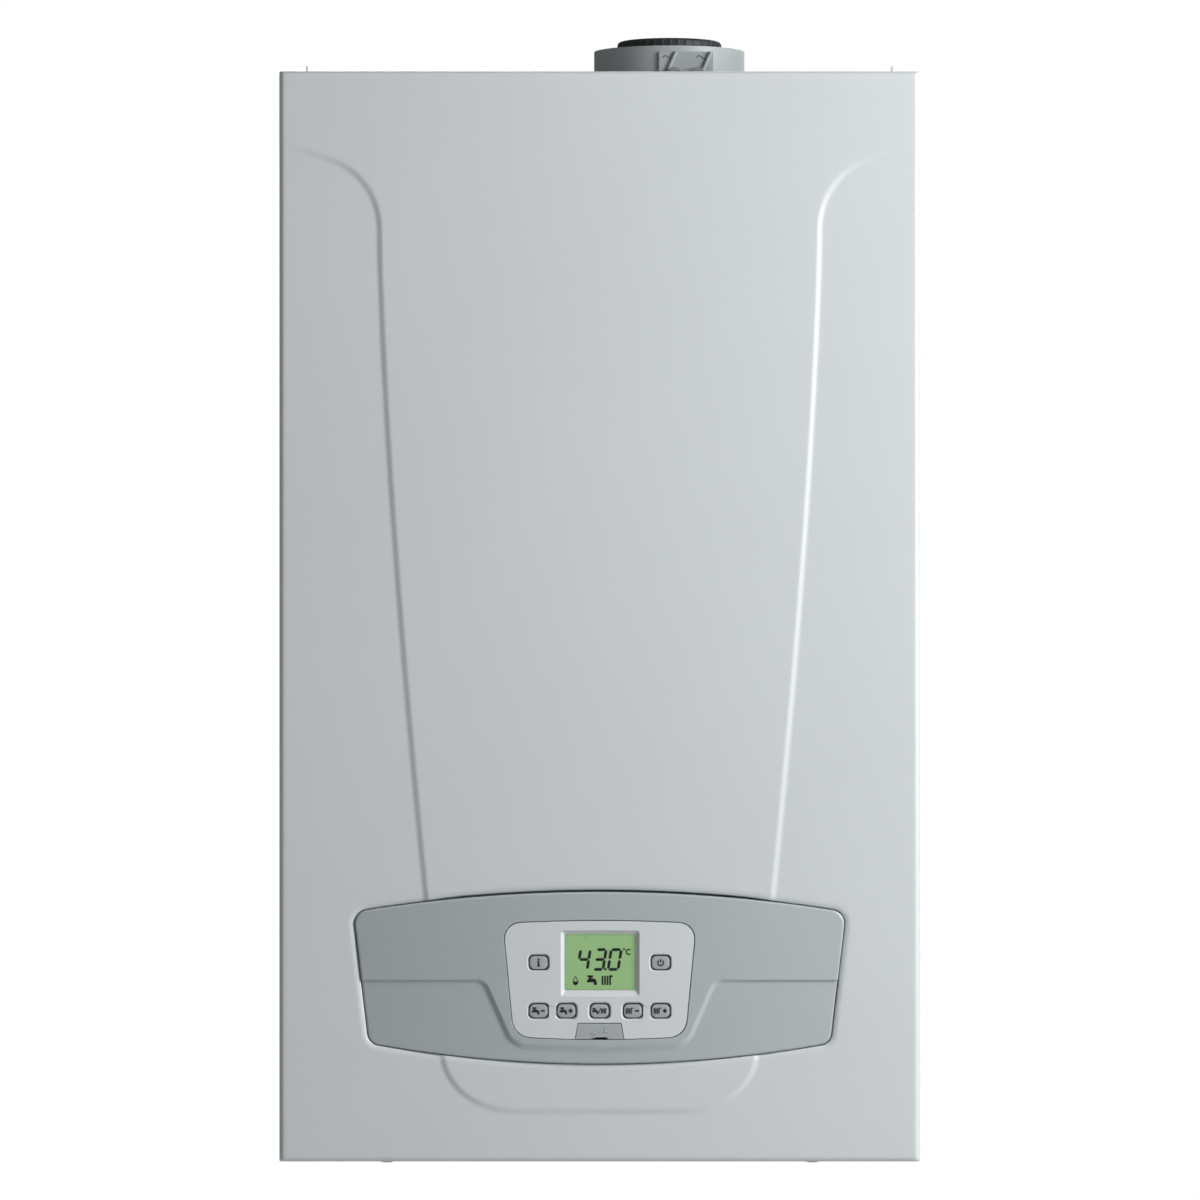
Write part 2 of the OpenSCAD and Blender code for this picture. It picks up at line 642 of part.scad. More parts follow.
module vessel_hose() color("#8d9194") pipe([
    at(vessel_port_x, vessel_gap + vessel_t + 6, vessel_port_h), at(vessel_port_x, vessel_hose_d + 4, vessel_port_h),
    at(vessel_hose_x, vessel_hose_d, vessel_hose_h[0]), at(vessel_hose_x, stub_d, vessel_hose_h[1]),
    at(vessel_hose_x, stub_d, manifold_h[1])],
    14, vessel_hose_r, 10);

// Burner group
boss_x = 61;
boss_rise = -sqrt(pow(exchanger_r, 2) - pow(boss_x, 2));
boss_d = 125;
boss_low = exchanger_h + boss_rise - 16;
boss_r = pipe_r + 5;
pipe_fit = 0.05;
drain_spigot_d = 234;
drain_spigot_low = exchanger_h - exchanger_r - 12;
drain_spigot_r = 9;
shell_t = 3;
stud_r = 2.5;
mouth_lip = 11;
mouth_t = 8;
stud_ring = exchanger_r - 6;
stud_angles = [for (i = [0:5]) 30 + 60 * i];
door_t = 6;
electrode_x = 31;
electrode_r = 5;
electrode_h = exchanger_h - 27;
module exchanger_housing() color("#a9adaf") difference() {
    union() {
        put(flue_x, exchanger_back, exchanger_h) turned_out() polygon([
            [0, 0], [exchanger_r - 4, 0], [exchanger_r, 4], [exchanger_r, exchanger_l], [0, exchanger_l]]);
        for (a = stud_angles)
            put(flue_x + stud_ring * cos(a), exchanger_front - 5, exchanger_h + stud_ring * sin(a))
                rod_out(stud_r, 18);
        // Water connections, condensate outlet and flue outlet
        for (s = [-1, 1]) put(flue_x + s * boss_x, boss_d, boss_low) cylinder(r = boss_r, h = 24);
        put(flue_x, drain_spigot_d, drain_spigot_low) cylinder(r = drain_spigot_r, h = 20);
        put(flue_x, flue_d, exchanger_h + exchanger_r - 12) cylinder(r = flue_r + 4, h = 26);
        // Feet on the upper rail
        for (s = [-1, 1])
            block(span(flue_x + s * foot_offset, foot_half), rail_d, [rail_top, exchanger_h - 60]);
    }
    put(flue_x, exchanger_back + shell_t, exchanger_h) turned_out() polygon([
        [0, 0], [exchanger_r - shell_t, 0], [exchanger_r - shell_t, exchanger_l - shell_t - mouth_t],
        [exchanger_r - mouth_lip, exchanger_l - shell_t - mouth_t], [exchanger_r - mouth_lip, exchanger_l],
        [0, exchanger_l]]);
    for (s = [-1, 1]) {
        put(flue_x + s * boss_x, boss_d, boss_low - 1) cylinder(r = pipe_r + pipe_fit, h = 7);
        block(
            span(flue_x + s * foot_offset, foot_half - 3), [rail_d[0] - 1, rail_d[1] + 1], from(rail_top, 3, 10));
        put(flue_x + s * foot_offset, rail_d[0] + 8, rail_top - 1) cylinder(r = screw_hole_r, h = 6);
    }
    put(flue_x, drain_spigot_d, drain_spigot_low - 1) cylinder(r = drain_spigot_r - 3.5, h = 30);
    put(flue_x, flue_d, exchanger_h + 50) cylinder(r = flue_r - flue_t, h = 60);
    put(flue_x, flue_d, exchanger_h + exchanger_r - 2) cylinder(r = flue_r - near + 0.05, h = 40);
}

coil_out = exchanger_r - shell_t - 8;
coil_in = burner_r + 16;
coil_wall = 5;
coil_dip = 3;
coil_pitch = (exchanger_l - 20) / turns;
function coil_edge(r, dip, rest) = [for (i = [0:turns - 1]) each
    [[r - dip, rest + i * coil_pitch], [r, rest + (i + 0.25) * coil_pitch],
     [r, rest + (i + 0.75) * coil_pitch], [r - dip, rest + (i + 1) * coil_pitch - 0.01]]];
module exchanger_coil() color("#d9dcde")
    put(flue_x, exchanger_back + shell_t + near, exchanger_h) turned_out() difference() {
        polygon(concat(coil_edge(coil_out, coil_dip, 0),
            [for (p = coil_edge(-coil_in, coil_dip, 0)) [-p[0], turns * coil_pitch - p[1]]]));
        translate([coil_in + coil_wall, 2])
            square([coil_out - coil_in - 2 * coil_wall, turns * coil_pitch - 4]);
    }

burner_gap = 26;
burner_l = exchanger_l - burner_gap - near;
burner_bend = 6;
flame_hole_r = 2.5;
flame_hole_pitch = 20;
module burner() color("#c3c6c8") difference() {
    put(flue_x, exchanger_back + burner_gap, exchanger_h) turned_out() difference() {
        polygon(concat([[0, 0]], arc([burner_r - burner_bend, burner_bend], burner_bend, 270, 360, 4),
            [[burner_r, burner_l - 3 + near], [burner_r + 2, burner_l - 2 + near], [burner_r + 2, burner_l],
             [0, burner_l]]));
        translate([0, 3]) square([burner_r - 2, exchanger_l]);
    }
    for (i = [0:4], a = [0:45:315])
        put(flue_x, exchanger_back + burner_gap + 22 + flame_hole_pitch * i, exchanger_h) rotate([0, a, 0])
            translate([0, 0, burner_r - 6]) cylinder(r = flame_hole_r, h = 12);
}

fan_x = -130;
duct_half = 18;
fan_back = exchanger_front + 5;
motor_gap = 6;
fan_share = 0.57;
fan_room = side_face - casing_t - motor_gap - fan_back;
fan_depth = fan_share * fan_room;
fan_front = fan_back + fan_depth;
tongue_r = impeller_r + 6;
volute_growth = 20;
fan_h = exchanger_h - tongue_r - volute_growth + duct_half;
duct_end = -44;
duct_wall = 3;
duct_flange = 6;
flange_t = 4;
eye_boss_r = 28;
cooling_rib = [46, 9, 3];
cooling_rib_in = 30;
duct_d = [door_t + exchanger_front, fan_front - 4];
module burner_door() color("#b4b8ba") difference() {
    union() {
        put(flue_x, exchanger_front, exchanger_h) turned_out() polygon([
            [0, 0], [exchanger_r - 1, 0], [exchanger_r - 1, door_t - 2],
            [exchanger_r - 3, door_t], [0, door_t]]);
        block([duct_end, flue_x], [duct_d[0] - 1, duct_d[1]], span(exchanger_h, duct_half));
        put(flue_x, duct_d[0] - 1, exchanger_h) rod_out(eye_boss_r, duct_d[1] - duct_d[0] + 1);
        block(
            from(duct_end, 0, flange_t), [duct_d[0], duct_d[1] + 2], span(exchanger_h, duct_half + duct_flange));
        // Cooling ribs
        for (a = [-150:30:-30]) put(flue_x, exchanger_front + door_t - 1, exchanger_h) rotate([0, -a, 0])
            translate([cooling_rib_in, -cooling_rib[1], -cooling_rib[2] / 2]) cube(cooling_rib);
    }
    block([duct_end - 1, flue_x], from(0, duct_d[0] + duct_wall, duct_d[1] - duct_wall),
        span(exchanger_h, duct_half - duct_wall));
    put(flue_x, exchanger_front - 1, exchanger_h)
        rod_out(eye_boss_r - duct_wall, duct_d[1] - exchanger_front - 2);
    for (a = stud_angles)
        put(flue_x + stud_ring * cos(a), exchanger_front - 1, exchanger_h + stud_ring * sin(a))
            rod_out(stud_r + near, door_t + 4);
    put(flue_x + electrode_x, exchanger_front - 1, electrode_h) rod_out(electrode_r + near, 20);
}
module door_nuts() color("silver") for (a = stud_angles)
    put(flue_x + stud_ring * cos(a), exchanger_front + door_t, exchanger_h + stud_ring * sin(a)) difference() {
        rotate([90, 0, 0]) cylinder(r = 4.6, h = 4, $fn = 6);
        translate([0, 1, 0]) rod_out(stud_r + 0.05, 8);
    }
electrode_d = exchanger_front + 24;
module ignition_electrode() color("#e6e4dc") {
    put(flue_x + electrode_x, exchanger_front - 30, electrode_h) rod_out(electrode_r, 44);
    put(flue_x + electrode_x, exchanger_front + door_t, electrode_h) rod_out(electrode_r + 1, 4);
    put(flue_x + electrode_x, exchanger_front + 13, electrode_h) rod_out(3, electrode_d - exchanger_front - 13);
    put(flue_x + electrode_x, exchanger_front - 70, electrode_h) rod_out(1.2, 41);
}
generator_x = [156, 196];
generator_t = 44;
lead_x = 170;
lead_start_d = 178;
module spark_generator() color("#2b2e30") {
    block(generator_x, [rail_d[0] - 22, rail_d[1]], [low_rail_top, low_rail_top + generator_t]);
    put(lead_x, lead_start_d, low_rail_top + generator_t - 1) cylinder(r = 5, h = 9);
    block(from(0, generator_x[0] + 8, generator_x[1] - 8), from(rail_d[1], -1, 5),
        from(low_rail_top, 8, generator_t - 8));
}
lead_d = electrode_d + 22;
lead_route_d = [lead_start_d, lead_start_d + 46, lead_start_d + 84];
lead_h = [low_rail_top + generator_t + 8, 404, 424, 478];
lead_r = 3.2;
module ignition_lead() color("#c2452d") pipe([
    at(lead_x, lead_route_d[0], lead_h[0]), at(lead_x, lead_route_d[0], lead_h[1]),
    at(lead_x + 2, lead_route_d[1], lead_h[2]), at(lead_x + 2, lead_route_d[2], lead_h[3]),
    at(flue_x + electrode_x, lead_d, electrode_h), at(flue_x + electrode_x, electrode_d, electrode_h)],
    11, lead_r, 8);

function volute(wall) = [for (i = [0:36]) let (a = 90 - 10 * i)
    (tongue_r + volute_growth * i / 36 - wall) * [cos(a), sin(a)]];
fan_wall = 2.5;
inlet_r = 26;
outlet_end = duct_end - fan_x - flange_t;
outlet_low = tongue_r + volute_growth - 2 * duct_half;
module fan_housing() color("#9da1a3") translate([fan_x, 0, fan_h]) difference() {
    union() {
        face(fan_back, fan_front) polygon(volute(0));
        face(duct_d[0], duct_d[1]) translate([0, outlet_low]) square([outlet_end, 2 * duct_half]);
        face(duct_d[0], duct_d[1] + 2) translate([outlet_end, outlet_low - duct_flange])
            square([flange_t, 2 * (duct_half + duct_flange)]);
    }
    face(fan_back + fan_wall, fan_front - fan_wall) polygon(volute(fan_wall));
    face(duct_d[0] + duct_wall, duct_d[1] - duct_wall) translate([0, outlet_low + duct_wall])
        square([outlet_end + flange_t + 1, 2 * (duct_half - duct_wall)]);
    put(0, fan_back - 1, 0) rod_out(inlet_r, 5);
    put(0, fan_front - 5, 0) rod_out(8, 8);
}
impeller_d = fan_back + 6;
impeller_w = fan_depth - 21;
hub_d = impeller_d + impeller_w;
eye_r = 27;
disc_t = 1.5;
blade_l = 17;
blade_t = 1.2;
shaft_r = 4;
shaft_in = 10;
motor_t = fan_room - fan_depth;
motor_r = 34;
motor_bend = 6;
module fan_impeller() color("#34383a") {
    put(fan_x, impeller_d, fan_h) turned_out()
        polygon([[eye_r, 0], [impeller_r, 0], [impeller_r, disc_t], [eye_r, disc_t]]);
    put(fan_x, hub_d, fan_h) turned_out() polygon([
        [0, -6], [12, -6], [14, 0], [impeller_r, 0], [impeller_r, disc_t], [0, disc_t]]);
    put(fan_x, hub_d + 1, fan_h) rod_out(shaft_r, fan_front + shaft_in - hub_d - 1);
    for (i = [0:blades - 1]) put(fan_x, hub_d + 1, fan_h) rotate([0, 360 * i / blades, 0])
        translate([eye_r + 2, 0, 0]) rotate([0, 25, 0]) cube([blade_l, impeller_w + 0.5, blade_t]);
}
module fan_motor() color("#26292b") put(fan_x, fan_front, fan_h) difference() {
    union() {
        turned_out() polygon(concat([[0, 0], [motor_r + 6, 0], [motor_r + 6, 3], [motor_r, 5]],
            arc([motor_r - motor_bend, motor_t - motor_bend], motor_bend, 0, 90, 4), [[0, motor_t]]));
        for (a = [0:30:330]) rotate([0, a, 0])
            translate([motor_r - 2, -motor_t + 8, -1]) cube([4, motor_t - 10, 2]);
    }
    translate([0, 1, 0]) rod_out(shaft_r + 0.05, shaft_in + 8);
}
mixer_d = 205;
mixer_l = fan_back - mixer_d;
mouth_r = 24;
throat_r = 17;
feed_d = mixer_d + 23;
feed_r = 7;
feed_low = fan_h - 42;
module gas_mixer() color("#b9bcbe") {
    put(fan_x, mixer_d, fan_h) turned_out() polygon([
        [mouth_r, 0], [mouth_r + 6, 0], [mouth_r + 6, 8], [mouth_r + 2, 14], [mouth_r + 2, mixer_l - 10],
        [mouth_r + 10, mixer_l - 4], [mouth_r + 10, mixer_l], [mouth_r, mixer_l], [throat_r, mixer_l - 18],
        [throat_r, 14]]);
    difference() {
        put(fan_x, feed_d, feed_low) cylinder(r = feed_r + 4, h = 22);
        put(fan_x, mixer_d, fan_h) rod_out(mouth_r - 2, 50);
        put(fan_x, feed_d, feed_low - 1) cylinder(r = feed_r + pipe_fit, h = 11);
    }
}
silencer_x = [fan_x - 66, fan_x + 56];
silencer_h = [rail_top, fan_h + 96];
silencer_d = [exchanger_back, mixer_d];
silencer_wall = 2;
module air_silencer() color("#3b3f41") difference() {
    block(silencer_x, silencer_d, silencer_h);
    block(
        within(silencer_x, silencer_wall), within(silencer_d, silencer_wall), within(silencer_h, silencer_wall));
    put(fan_x, silencer_d[1] - 4, fan_h) rod_out(mouth_r, 8);
    // Air slots
    for (i = [0:4])
        block(from(silencer_x[0] + 20 + 16 * i, 0, 10), within(silencer_d, 20), from(silencer_h[1], -4, 1));
}

valve_h = [low_rail_top + 6, low_rail_top + 66];
valve_half = 30;
valve_t = 50;
module gas_valve() color("#b7babc") {
    block(span(fan_x, valve_half), from(rail_d[1], 0, valve_t), valve_h);
    block(span(fan_x, valve_half - 6), from(rail_d[1], 0, 3), [low_rail_top - 22, valve_h[0] + 1]);
    put(fan_x, feed_d, valve_h[0] - 8) difference() {
        cylinder(r = 14, h = 8.1);
        translate([0, 0, -1]) cylinder(r = pipe_r + pipe_fit, h = 7);
    }
    put(fan_x, feed_d, valve_h[1] - 0.1) difference() {
        cylinder(r = feed_r + 4, h = 8);
        translate([0, 0, 3]) cylinder(r = feed_r + pipe_fit, h = 7);
    }
    // Coils and adjuster
    for (h = [14, 40]) put(fan_x, rail_d[1] + valve_t - 1, valve_h[0] + h) rod_out(9, 24);
    block(from(fan_x, 14, 29), from(rail_d[1], valve_t - 1, valve_t + 12), from(valve_h[0], 10, 50));
}
module gas_feed_tube() color("#c58a5a") {
    put(fan_x, feed_d, valve_h[1] + 3) cylinder(r = feed_r, h = feed_low + 9 - valve_h[1] - 3);
    put(fan_x, feed_d, feed_low - 10) cylinder(r = feed_r + 4, h = 9.5, $fn = 6);
    put(fan_x, feed_d, valve_h[1] + 8) cylinder(r = feed_r + 4, h = 9.5, $fn = 6);
}

// Water group
module stub(x, r, bore, h) difference() {
    put(x, stub_d, -stub_drop) cylinder(r = r, h = h + stub_drop);
    put(x, stub_d, -stub_drop - 1) cylinder(r = bore, h = 30);
}
module union_nut(x, d, h, r) put(x, d, h) cylinder(r = r, h = 12, $fn = 6);
gas_route_h = [44, 160, 240];
bend_big_r = 26;
bend_r = 24;
bend_small_r = 22;
module gas_pipe() color("#c58a5a") {
    stub(stub_x[2], stub_big_r, pipe_r - 1, 36);
    union_nut(stub_x[2], stub_d, 34, stub_big_r + 4);
    pipe([at(stub_x[2], stub_d, gas_route_h[0]), at(stub_x[2], stub_d, gas_route_h[1]),
        at(fan_x, feed_d, gas_route_h[2]), at(fan_x, feed_d, valve_h[0] - 3)], bend_big_r, pipe_r, 12);
}
flow_top = boss_low + 6;
tower_d = 100;
tower_r = 20;
tower_seat = 146;
pump_seat_d = 96;
pump_seat = 166;
flow_route_h = [300, 240];
return_route_h = [420, 380, 260, 210];
module flow_pipe() color("#c58a5a") pipe([
    at(flue_x - boss_x, boss_d, flow_top), at(flue_x - boss_x, boss_d, flow_route_h[0]),
    at(stub_x[0], tower_d, flow_route_h[1]), at(stub_x[0], tower_d, tower_seat)], bend_r, pipe_r, 12);
module return_pipe() color("#c58a5a") pipe([
    at(flue_x + boss_x, boss_d, flow_top), at(flue_x + boss_x, boss_d, return_route_h[0]),
    at(pump_x, boss_d, return_route_h[1]), at(pump_x, boss_d, return_route_h[2]),
    at(pump_x, pump_seat_d, return_route_h[3]), at(pump_x, pump_seat_d, pump_seat)], bend_small_r, pipe_r, 12);

manifold_d = [stub_d - 20, stub_d + 20];
manifold_h = [24, 62];
hx_back = manifold_d[1] + 6;
hx_h = [70, 145];
hx_pitch = 3;
hx_plate_t = 1.6;
hx_corner_r = 16;
hx_mid = (hx_h[0] + hx_h[1]) / 2;
hx_l = hx_h[1] - hx_h[0];
module hx_port(x) put(x, manifold_d[1] - 1, manifold_h[1] + 18) rod_out(9, hx_back - manifold_d[1] + 1);
module hx_riser(x) block(span(x, 11), from(manifold_d[1], -20, 0), from(manifold_h[1], -1, 30));
module plate_heat_exchanger() color("#c9ccce") for (i = [0:plates - 1]) {
    face(hx_back + hx_pitch * i, hx_back + hx_pitch * i + hx_plate_t)
        polygon(raised(round_rect(plate_hx_w, hx_l, hx_corner_r), 0, hx_mid));
    if (i < plates - 1) face(hx_back + hx_pitch * i + hx_plate_t - 0.1, hx_back + hx_pitch * (i + 1) + 0.1)
        polygon(raised(round_rect(plate_hx_w - 4, hx_l - 4, hx_corner_r - 2), 0, hx_mid));
}
port_x = 78;
diverter_h = 105;
spindle_r = 16;
module diverter_block() color("#a8834e") {
    stub(stub_x[0], stub_big_r, pipe_r, manifold_h[0] + 1);
    stub(stub_x[1], stub_small_r, pipe_r - 2, manifold_h[0] + 1);
    block([stub_x[0] - 22, stub_x[1] + 18], manifold_d, manifold_h);
    // Risers and ports of the plate heat exchanger, and the tower of the diverter
    hx_riser(-port_x);
    hx_port(-port_x);
    difference() {
        put(stub_x[0], tower_d, manifold_h[1] - 1) cylinder(r = tower_r, h = tower_seat + 9 - manifold_h[1]);
        put(stub_x[0], tower_d, tower_seat) cylinder(r = pipe_r + pipe_fit, h = 20);
    }
    put(stub_x[0], tower_d + 10, diverter_h) rod_out(spindle_r, 14);
}
module diverter_motor() color("#303436") {
    put(stub_x[0], tower_d + 24, diverter_h) rod_out(spindle_r + 2, 10);
    block(span(stub_x[0], 22), from(tower_d, 33, 78), from(diverter_h, -21, 25));
}
pump_x = 138;
pump_h = 112;
volute_r = 40;
manifold_end = relief_x + 18;
relief_body_r = 13;
relief_knob_r = 14;
spindle_bore = 2.55;
valve_seat_r = 12;
filling_knob_r = 13;
volute_d = [72, 118];
pump_motor_t = 84;
module pump_block() color("#6b6f72") {
    stub(stub_x[4], stub_big_r, pipe_r, manifold_h[0] + 1);
    stub(stub_x[3], stub_small_r, pipe_r - 2, manifold_h[0] + 1);
    block([stub_x[3] - 18, manifold_end], manifold_d, manifold_h);
    hx_riser(port_x);
    hx_port(port_x);
    put(pump_x, volute_d[0], pump_h) rod_out(volute_r, volute_d[1] - volute_d[0]);
    block(span(pump_x, 22), [volute_d[0] + 2, volute_d[1] - 2], [manifold_h[1] - 1, pump_h - 20]);
    difference() {
        put(pump_x, pump_seat_d, pump_h + 30) cylinder(r = 15, h = pump_seat + 8 - pump_h - 30);
        put(pump_x, pump_seat_d, pump_seat) cylinder(r = pipe_r + pipe_fit, h = 20);
    }
    // Relief valve with its outlet, and the filling valve
    difference() {
        union() {
            put(relief_x, manifold_d[1] - 1, relief_h) rod_out(relief_body_r, 38);
            put(relief_x, relief_d, relief_low) cylinder(r = relief_r, h = relief_h - relief_low);
            put(relief_x, relief_d, relief_nut_h) cylinder(r = relief_r + 3.5, h = 16, $fn = 6);
        }
        put(relief_x, relief_d, relief_low - 1) cylinder(r = relief_r - 2.5, h = relief_h - relief_low - 2);
        put(relief_x, manifold_d[1] + 25, relief_h) rod_out(spindle_bore, 20);
    }
    difference() {
        block(span(filling_x, 9), [manifold_d[1] - 1, filling_d], [30, 48]);
        put(filling_x, filling_d, 19) cylinder(r = filling_stem_r + 0.05, h = 18);
    }
    difference() {
        put(filling_x, filling_d, 20) cylinder(r = valve_seat_r, h = 32);
        put(filling_x, filling_d, 19) cylinder(r = filling_stem_r + 0.05, h = 18);
    }
    put(vent_x, vent_d, pump_h + 8) cylinder(r = vent_boss_r, h = vent_low - pump_h - 8);
}
module pump_motor() color("#8a2f26") put(pump_x, volute_d[1], pump_h) turned_out() polygon(concat(
    [[0, 0], [pump_r + 1.5, 0], [pump_r + 1.5, 6], [pump_r, 8]],
    [[pump_r, 30], [pump_r - 2, 32], [pump_r - 2, 58]], arc([pump_r - 8, pump_motor_t - 6], 6, 0, 90, 4),
    [[14, pump_motor_t], [13, pump_motor_t + 3], [0, pump_motor_t + 3]]));
vent_x = pump_x + 30;
vent_d = volute_d[0] + 18;
vent_low = pump_h + volute_r + 1;
vent_boss_r = 9;
module air_vent() color("#a8834e") put(vent_x, vent_d, vent_low) rotate_extrude() polygon(concat(
    [[0, 0], [10, 0], [13, 4]], arc([9, 60], 5, 0, 90, 4), [[6, 66], [6, 76], [0, 76]]));
module safety_knob() color("#b3342c") {
    put(relief_x, manifold_d[1] + 26, relief_h) rod_out(spindle_bore - 0.05, 14);
    put(relief_x, manifold_d[1] + 37.3, relief_h) difference() {
        rod_out(relief_knob_r, 18);
        for (a = [0:45:315]) rotate([0, a, 0]) translate([relief_knob_r + 1.5, 1, 0]) rod_out(3, 22);
    }
}
module filling_knob() color("#25282a") {
    put(filling_x, filling_d, -2) cylinder(r = filling_stem_r, h = 38);
    put(filling_x, filling_d, -14) difference() {
        cylinder(r = filling_knob_r, h = 17);
        for (a = [0:60:300]) rotate([0, 0, a]) translate([filling_knob_r + 2, 0, -1]) cylinder(r = 4, h = 20);
    }
}
gauge_low = 2;
gauge_t = 36;
needle_l = 15;
needle_w = 1.2;
pivot_r = 1;
module pressure_gauge() color("#2a2d2f") put(gauge_x, gauge_d, gauge_low) difference() {
    union() {
        cylinder(r = gauge_r, h = gauge_t);
        cylinder(r = gauge_r + 3, h = plate_h - gauge_low);
    }
    // Dial well
    translate([0, 0, -1]) cylinder(r = gauge_r - 1.5, h = 6);
    cylinder(r = pivot_r + 0.05, h = 10);
}
module gauge_needle() color("#d23b2a") put(gauge_x, gauge_d, gauge_low + 3) {
    cylinder(r = pivot_r, h = 5);
    cylinder(r = 2.5, h = 1);
    rotate([0, 0, -135]) translate([-needle_w / 2, -3, 0]) cube([needle_w, needle_l + 3, 0.8]);
}

trap_x = flue_x;
trap_d = drain_spigot_d;
trap_h = [262, 400];
trap_l = trap_h[1] - trap_h[0];
trap_r = 25;
trap_cup_h = 124;
trap_neck_r = 11;
trap_foot = 14;
module condensate_trap() color("#7d8285") {
    put(trap_x, trap_d, trap_h[0]) rotate_extrude() polygon(concat(
        [[0, 0], [12, 0], [trap_r - 3, 10], [trap_r, 14], [trap_r, trap_cup_h - 6]],
        arc([trap_r - 6, trap_cup_h - 6], 6, 0, 90, 4),
        [[trap_neck_r, trap_cup_h], [trap_neck_r, trap_l], [0, trap_l]]));
    block(span(trap_x, 12), [rail_d[1], trap_d - 18], from(low_rail_top, -22, -4));
    put(trap_x, trap_d, trap_h[0] - trap_foot) cylinder(r = 9, h = trap_foot + 2);
}
hose_r = 11;
hose_rib = 1.2;
hose_route_h = [215, 170, 120];
hose_route = rounded_route([
    at(trap_x, trap_d, trap_h[0] - trap_foot), at(trap_x, trap_d, hose_route_h[0]),
    at(drain_x, drain_d + 20, hose_route_h[1]), at(drain_x, drain_d, hose_route_h[2]),
    at(drain_x, drain_d, 30)], bend_r, 6);
function along(p, s, i) = let (l = norm(p[i + 1] - p[i]))
    s <= l || i == len(p) - 2 ? p[i] + (p[i + 1] - p[i]) * min(s / l, 1) : along(p, s - l, i + 1);
function route_length(p, i = 0) = i == len(p) - 1 ? 0 : norm(p[i + 1] - p[i]) + route_length(p, i + 1);
hose_pitch = 6.5;
drain_low = -12;
hose_ribs = floor(route_length(hose_route) / hose_pitch);
module condensate_hose() color("#9ea3a6") {
    steps = [for (i = [0:2 * hose_ribs]) along(hose_route, route_length(hose_route) * i / (2 * hose_ribs), 0)];
    tube(steps, [for (i = [0:2 * hose_ribs]) hose_r + (i % 2 == 0 ? -hose_rib : hose_rib)], 10);
    put(drain_x, drain_d, drain_low) difference() {
        cylinder(r = drain_r, h = 31 - drain_low);
        translate([0, 0, -1]) cylinder(r = drain_r - 3, h = 30);
    }
    put(trap_x, trap_d, trap_h[1]) cylinder(r = 10, h = drain_spigot_low - trap_h[1]);
}

// Controls
box_front = side_face - lip_d - 1;
box_back = box_front - box_t;
box_low = hinge_h + 8;
box_high = box_low + box_h;
box_wall = 2.5;
cover_plate_t = 2;
lug_r = 7;
pin_l = lug_x + 2.5 - box_w / 2;
module control_box() color("#3a3e40") {
    difference() {
        block([-box_w / 2, box_w / 2], [box_back, box_front - cover_plate_t], [box_low, box_high]);
        block([-box_w / 2 + box_wall, box_w / 2 - box_wall], [box_back + box_wall, box_front],
            [box_low + box_wall, box_high - box_wall]);
        for (i = [0:7]) block(from(20 * i, -80, -68), [box_back + 12, box_front - 14], from(box_high, -4, 1));
    }
    both_sides() {
        flank(box_w / 2 - box_wall, box_w / 2) polygon([
            [hinge_d - lug_r - 1, box_low + 1], [hinge_d - lug_r, hinge_h - 4], [hinge_d - 4, hinge_h - lug_r],
            [hinge_d + 4, hinge_h - lug_r], [hinge_d + lug_r, hinge_h - 4], [hinge_d + lug_r, box_low + 1]]);
        put(box_w / 2 - 1, hinge_d, hinge_h) rod_x(hinge_pin_r, pin_l + 1);
    }
}

face_curve = 3290;
face_d = body_d + fascia_rise;
face_reach = 200;
module under_face(depth) translate([0, 0, base_z]) linear_extrude(body_h) polygon(concat(
    [[-face_reach, 0]], [for (x = [-face_reach:16:face_reach]) [x, depth + x * x / 2 / face_curve - face_d]],
    [[face_reach, 0]]));
bezel_gap = 0.5;
cheek_drop = 2;
cheek_low = 50;
step_h = 127.3;
step_x = 87.1;
step_r = 9;
foot_x = 50.5;
foot_r = 16;
foot_line_h = 79.2;
slant = 22.5;
// The raised middle of the fascia: a wide shoulder above a tapering foot
step_line = let (half = concat(
    [[face_reach - 10, face_reach], [face_reach - 10, step_h]],
    arc([step_x, step_h - step_r], step_r, 90, 180 - slant, 4),
    arc([foot_x, foot_line_h + foot_r], foot_r, 360 - slant, 275, 5))) concat(half, mirrored(half));
module fascia() color("#9aa2a5") {
    difference() {
        intersection() {
            face(box_front - cover_plate_t, face_d + 5) polygon(panel_outline(fascia_form, 0));
            under_face(0);
        }
        // Cheeks and foot strip lie lower than the raised middle
        difference() {
            face(face_d - 12, face_d + 6) difference() {
                translate([-face_reach, cheek_low]) square([2 * face_reach, step_h - cheek_low]);
                polygon(step_line);
            }
            under_face(cheek_drop);
        }
        intersection() {
            face(box_front - cover_plate_t - 1, face_d + 5) polygon(panel_outline(fascia_form, -fascia_t));
            under_face(fascia_t + cheek_drop);
        }
        face(face_d - 20, face_d + 6) polygon(panel_outline(bezel_form, bezel_gap));
    }
    // Flange that closes the control box
    difference() {
        block([-box_w / 2, box_w / 2], [box_front - cover_plate_t, box_front], [box_low, box_high]);
        face(box_front - 5, box_front + 1) polygon(panel_outline(fascia_form, -fascia_t));
    }
}

window_at = [0.4, 140.6];
window_corner_r = 1.5;
display_rim = 2;
frame_w = 56;
frame_h = 47;
frame_low = 2.1;
bezel_back = face_d - 3.5;
rim_front = face_d - fascia_t - cheek_drop - 1;
rim_back = rim_front - 1.5;
keys = [
    [-42.8, 140.3], [42.8, 140.3], [-42.8, 106.4], [-23.3, 106.4], [0, 106.4], [23.3, 106.4], [42.8, 106.4]];
key_r = 3.2;
key_rim = 1.6;
key_rise = 1.2;
pocket_depth = 0.8;
pocket_grow = 1.3;
link_w = 7;
link_h = 7.2;
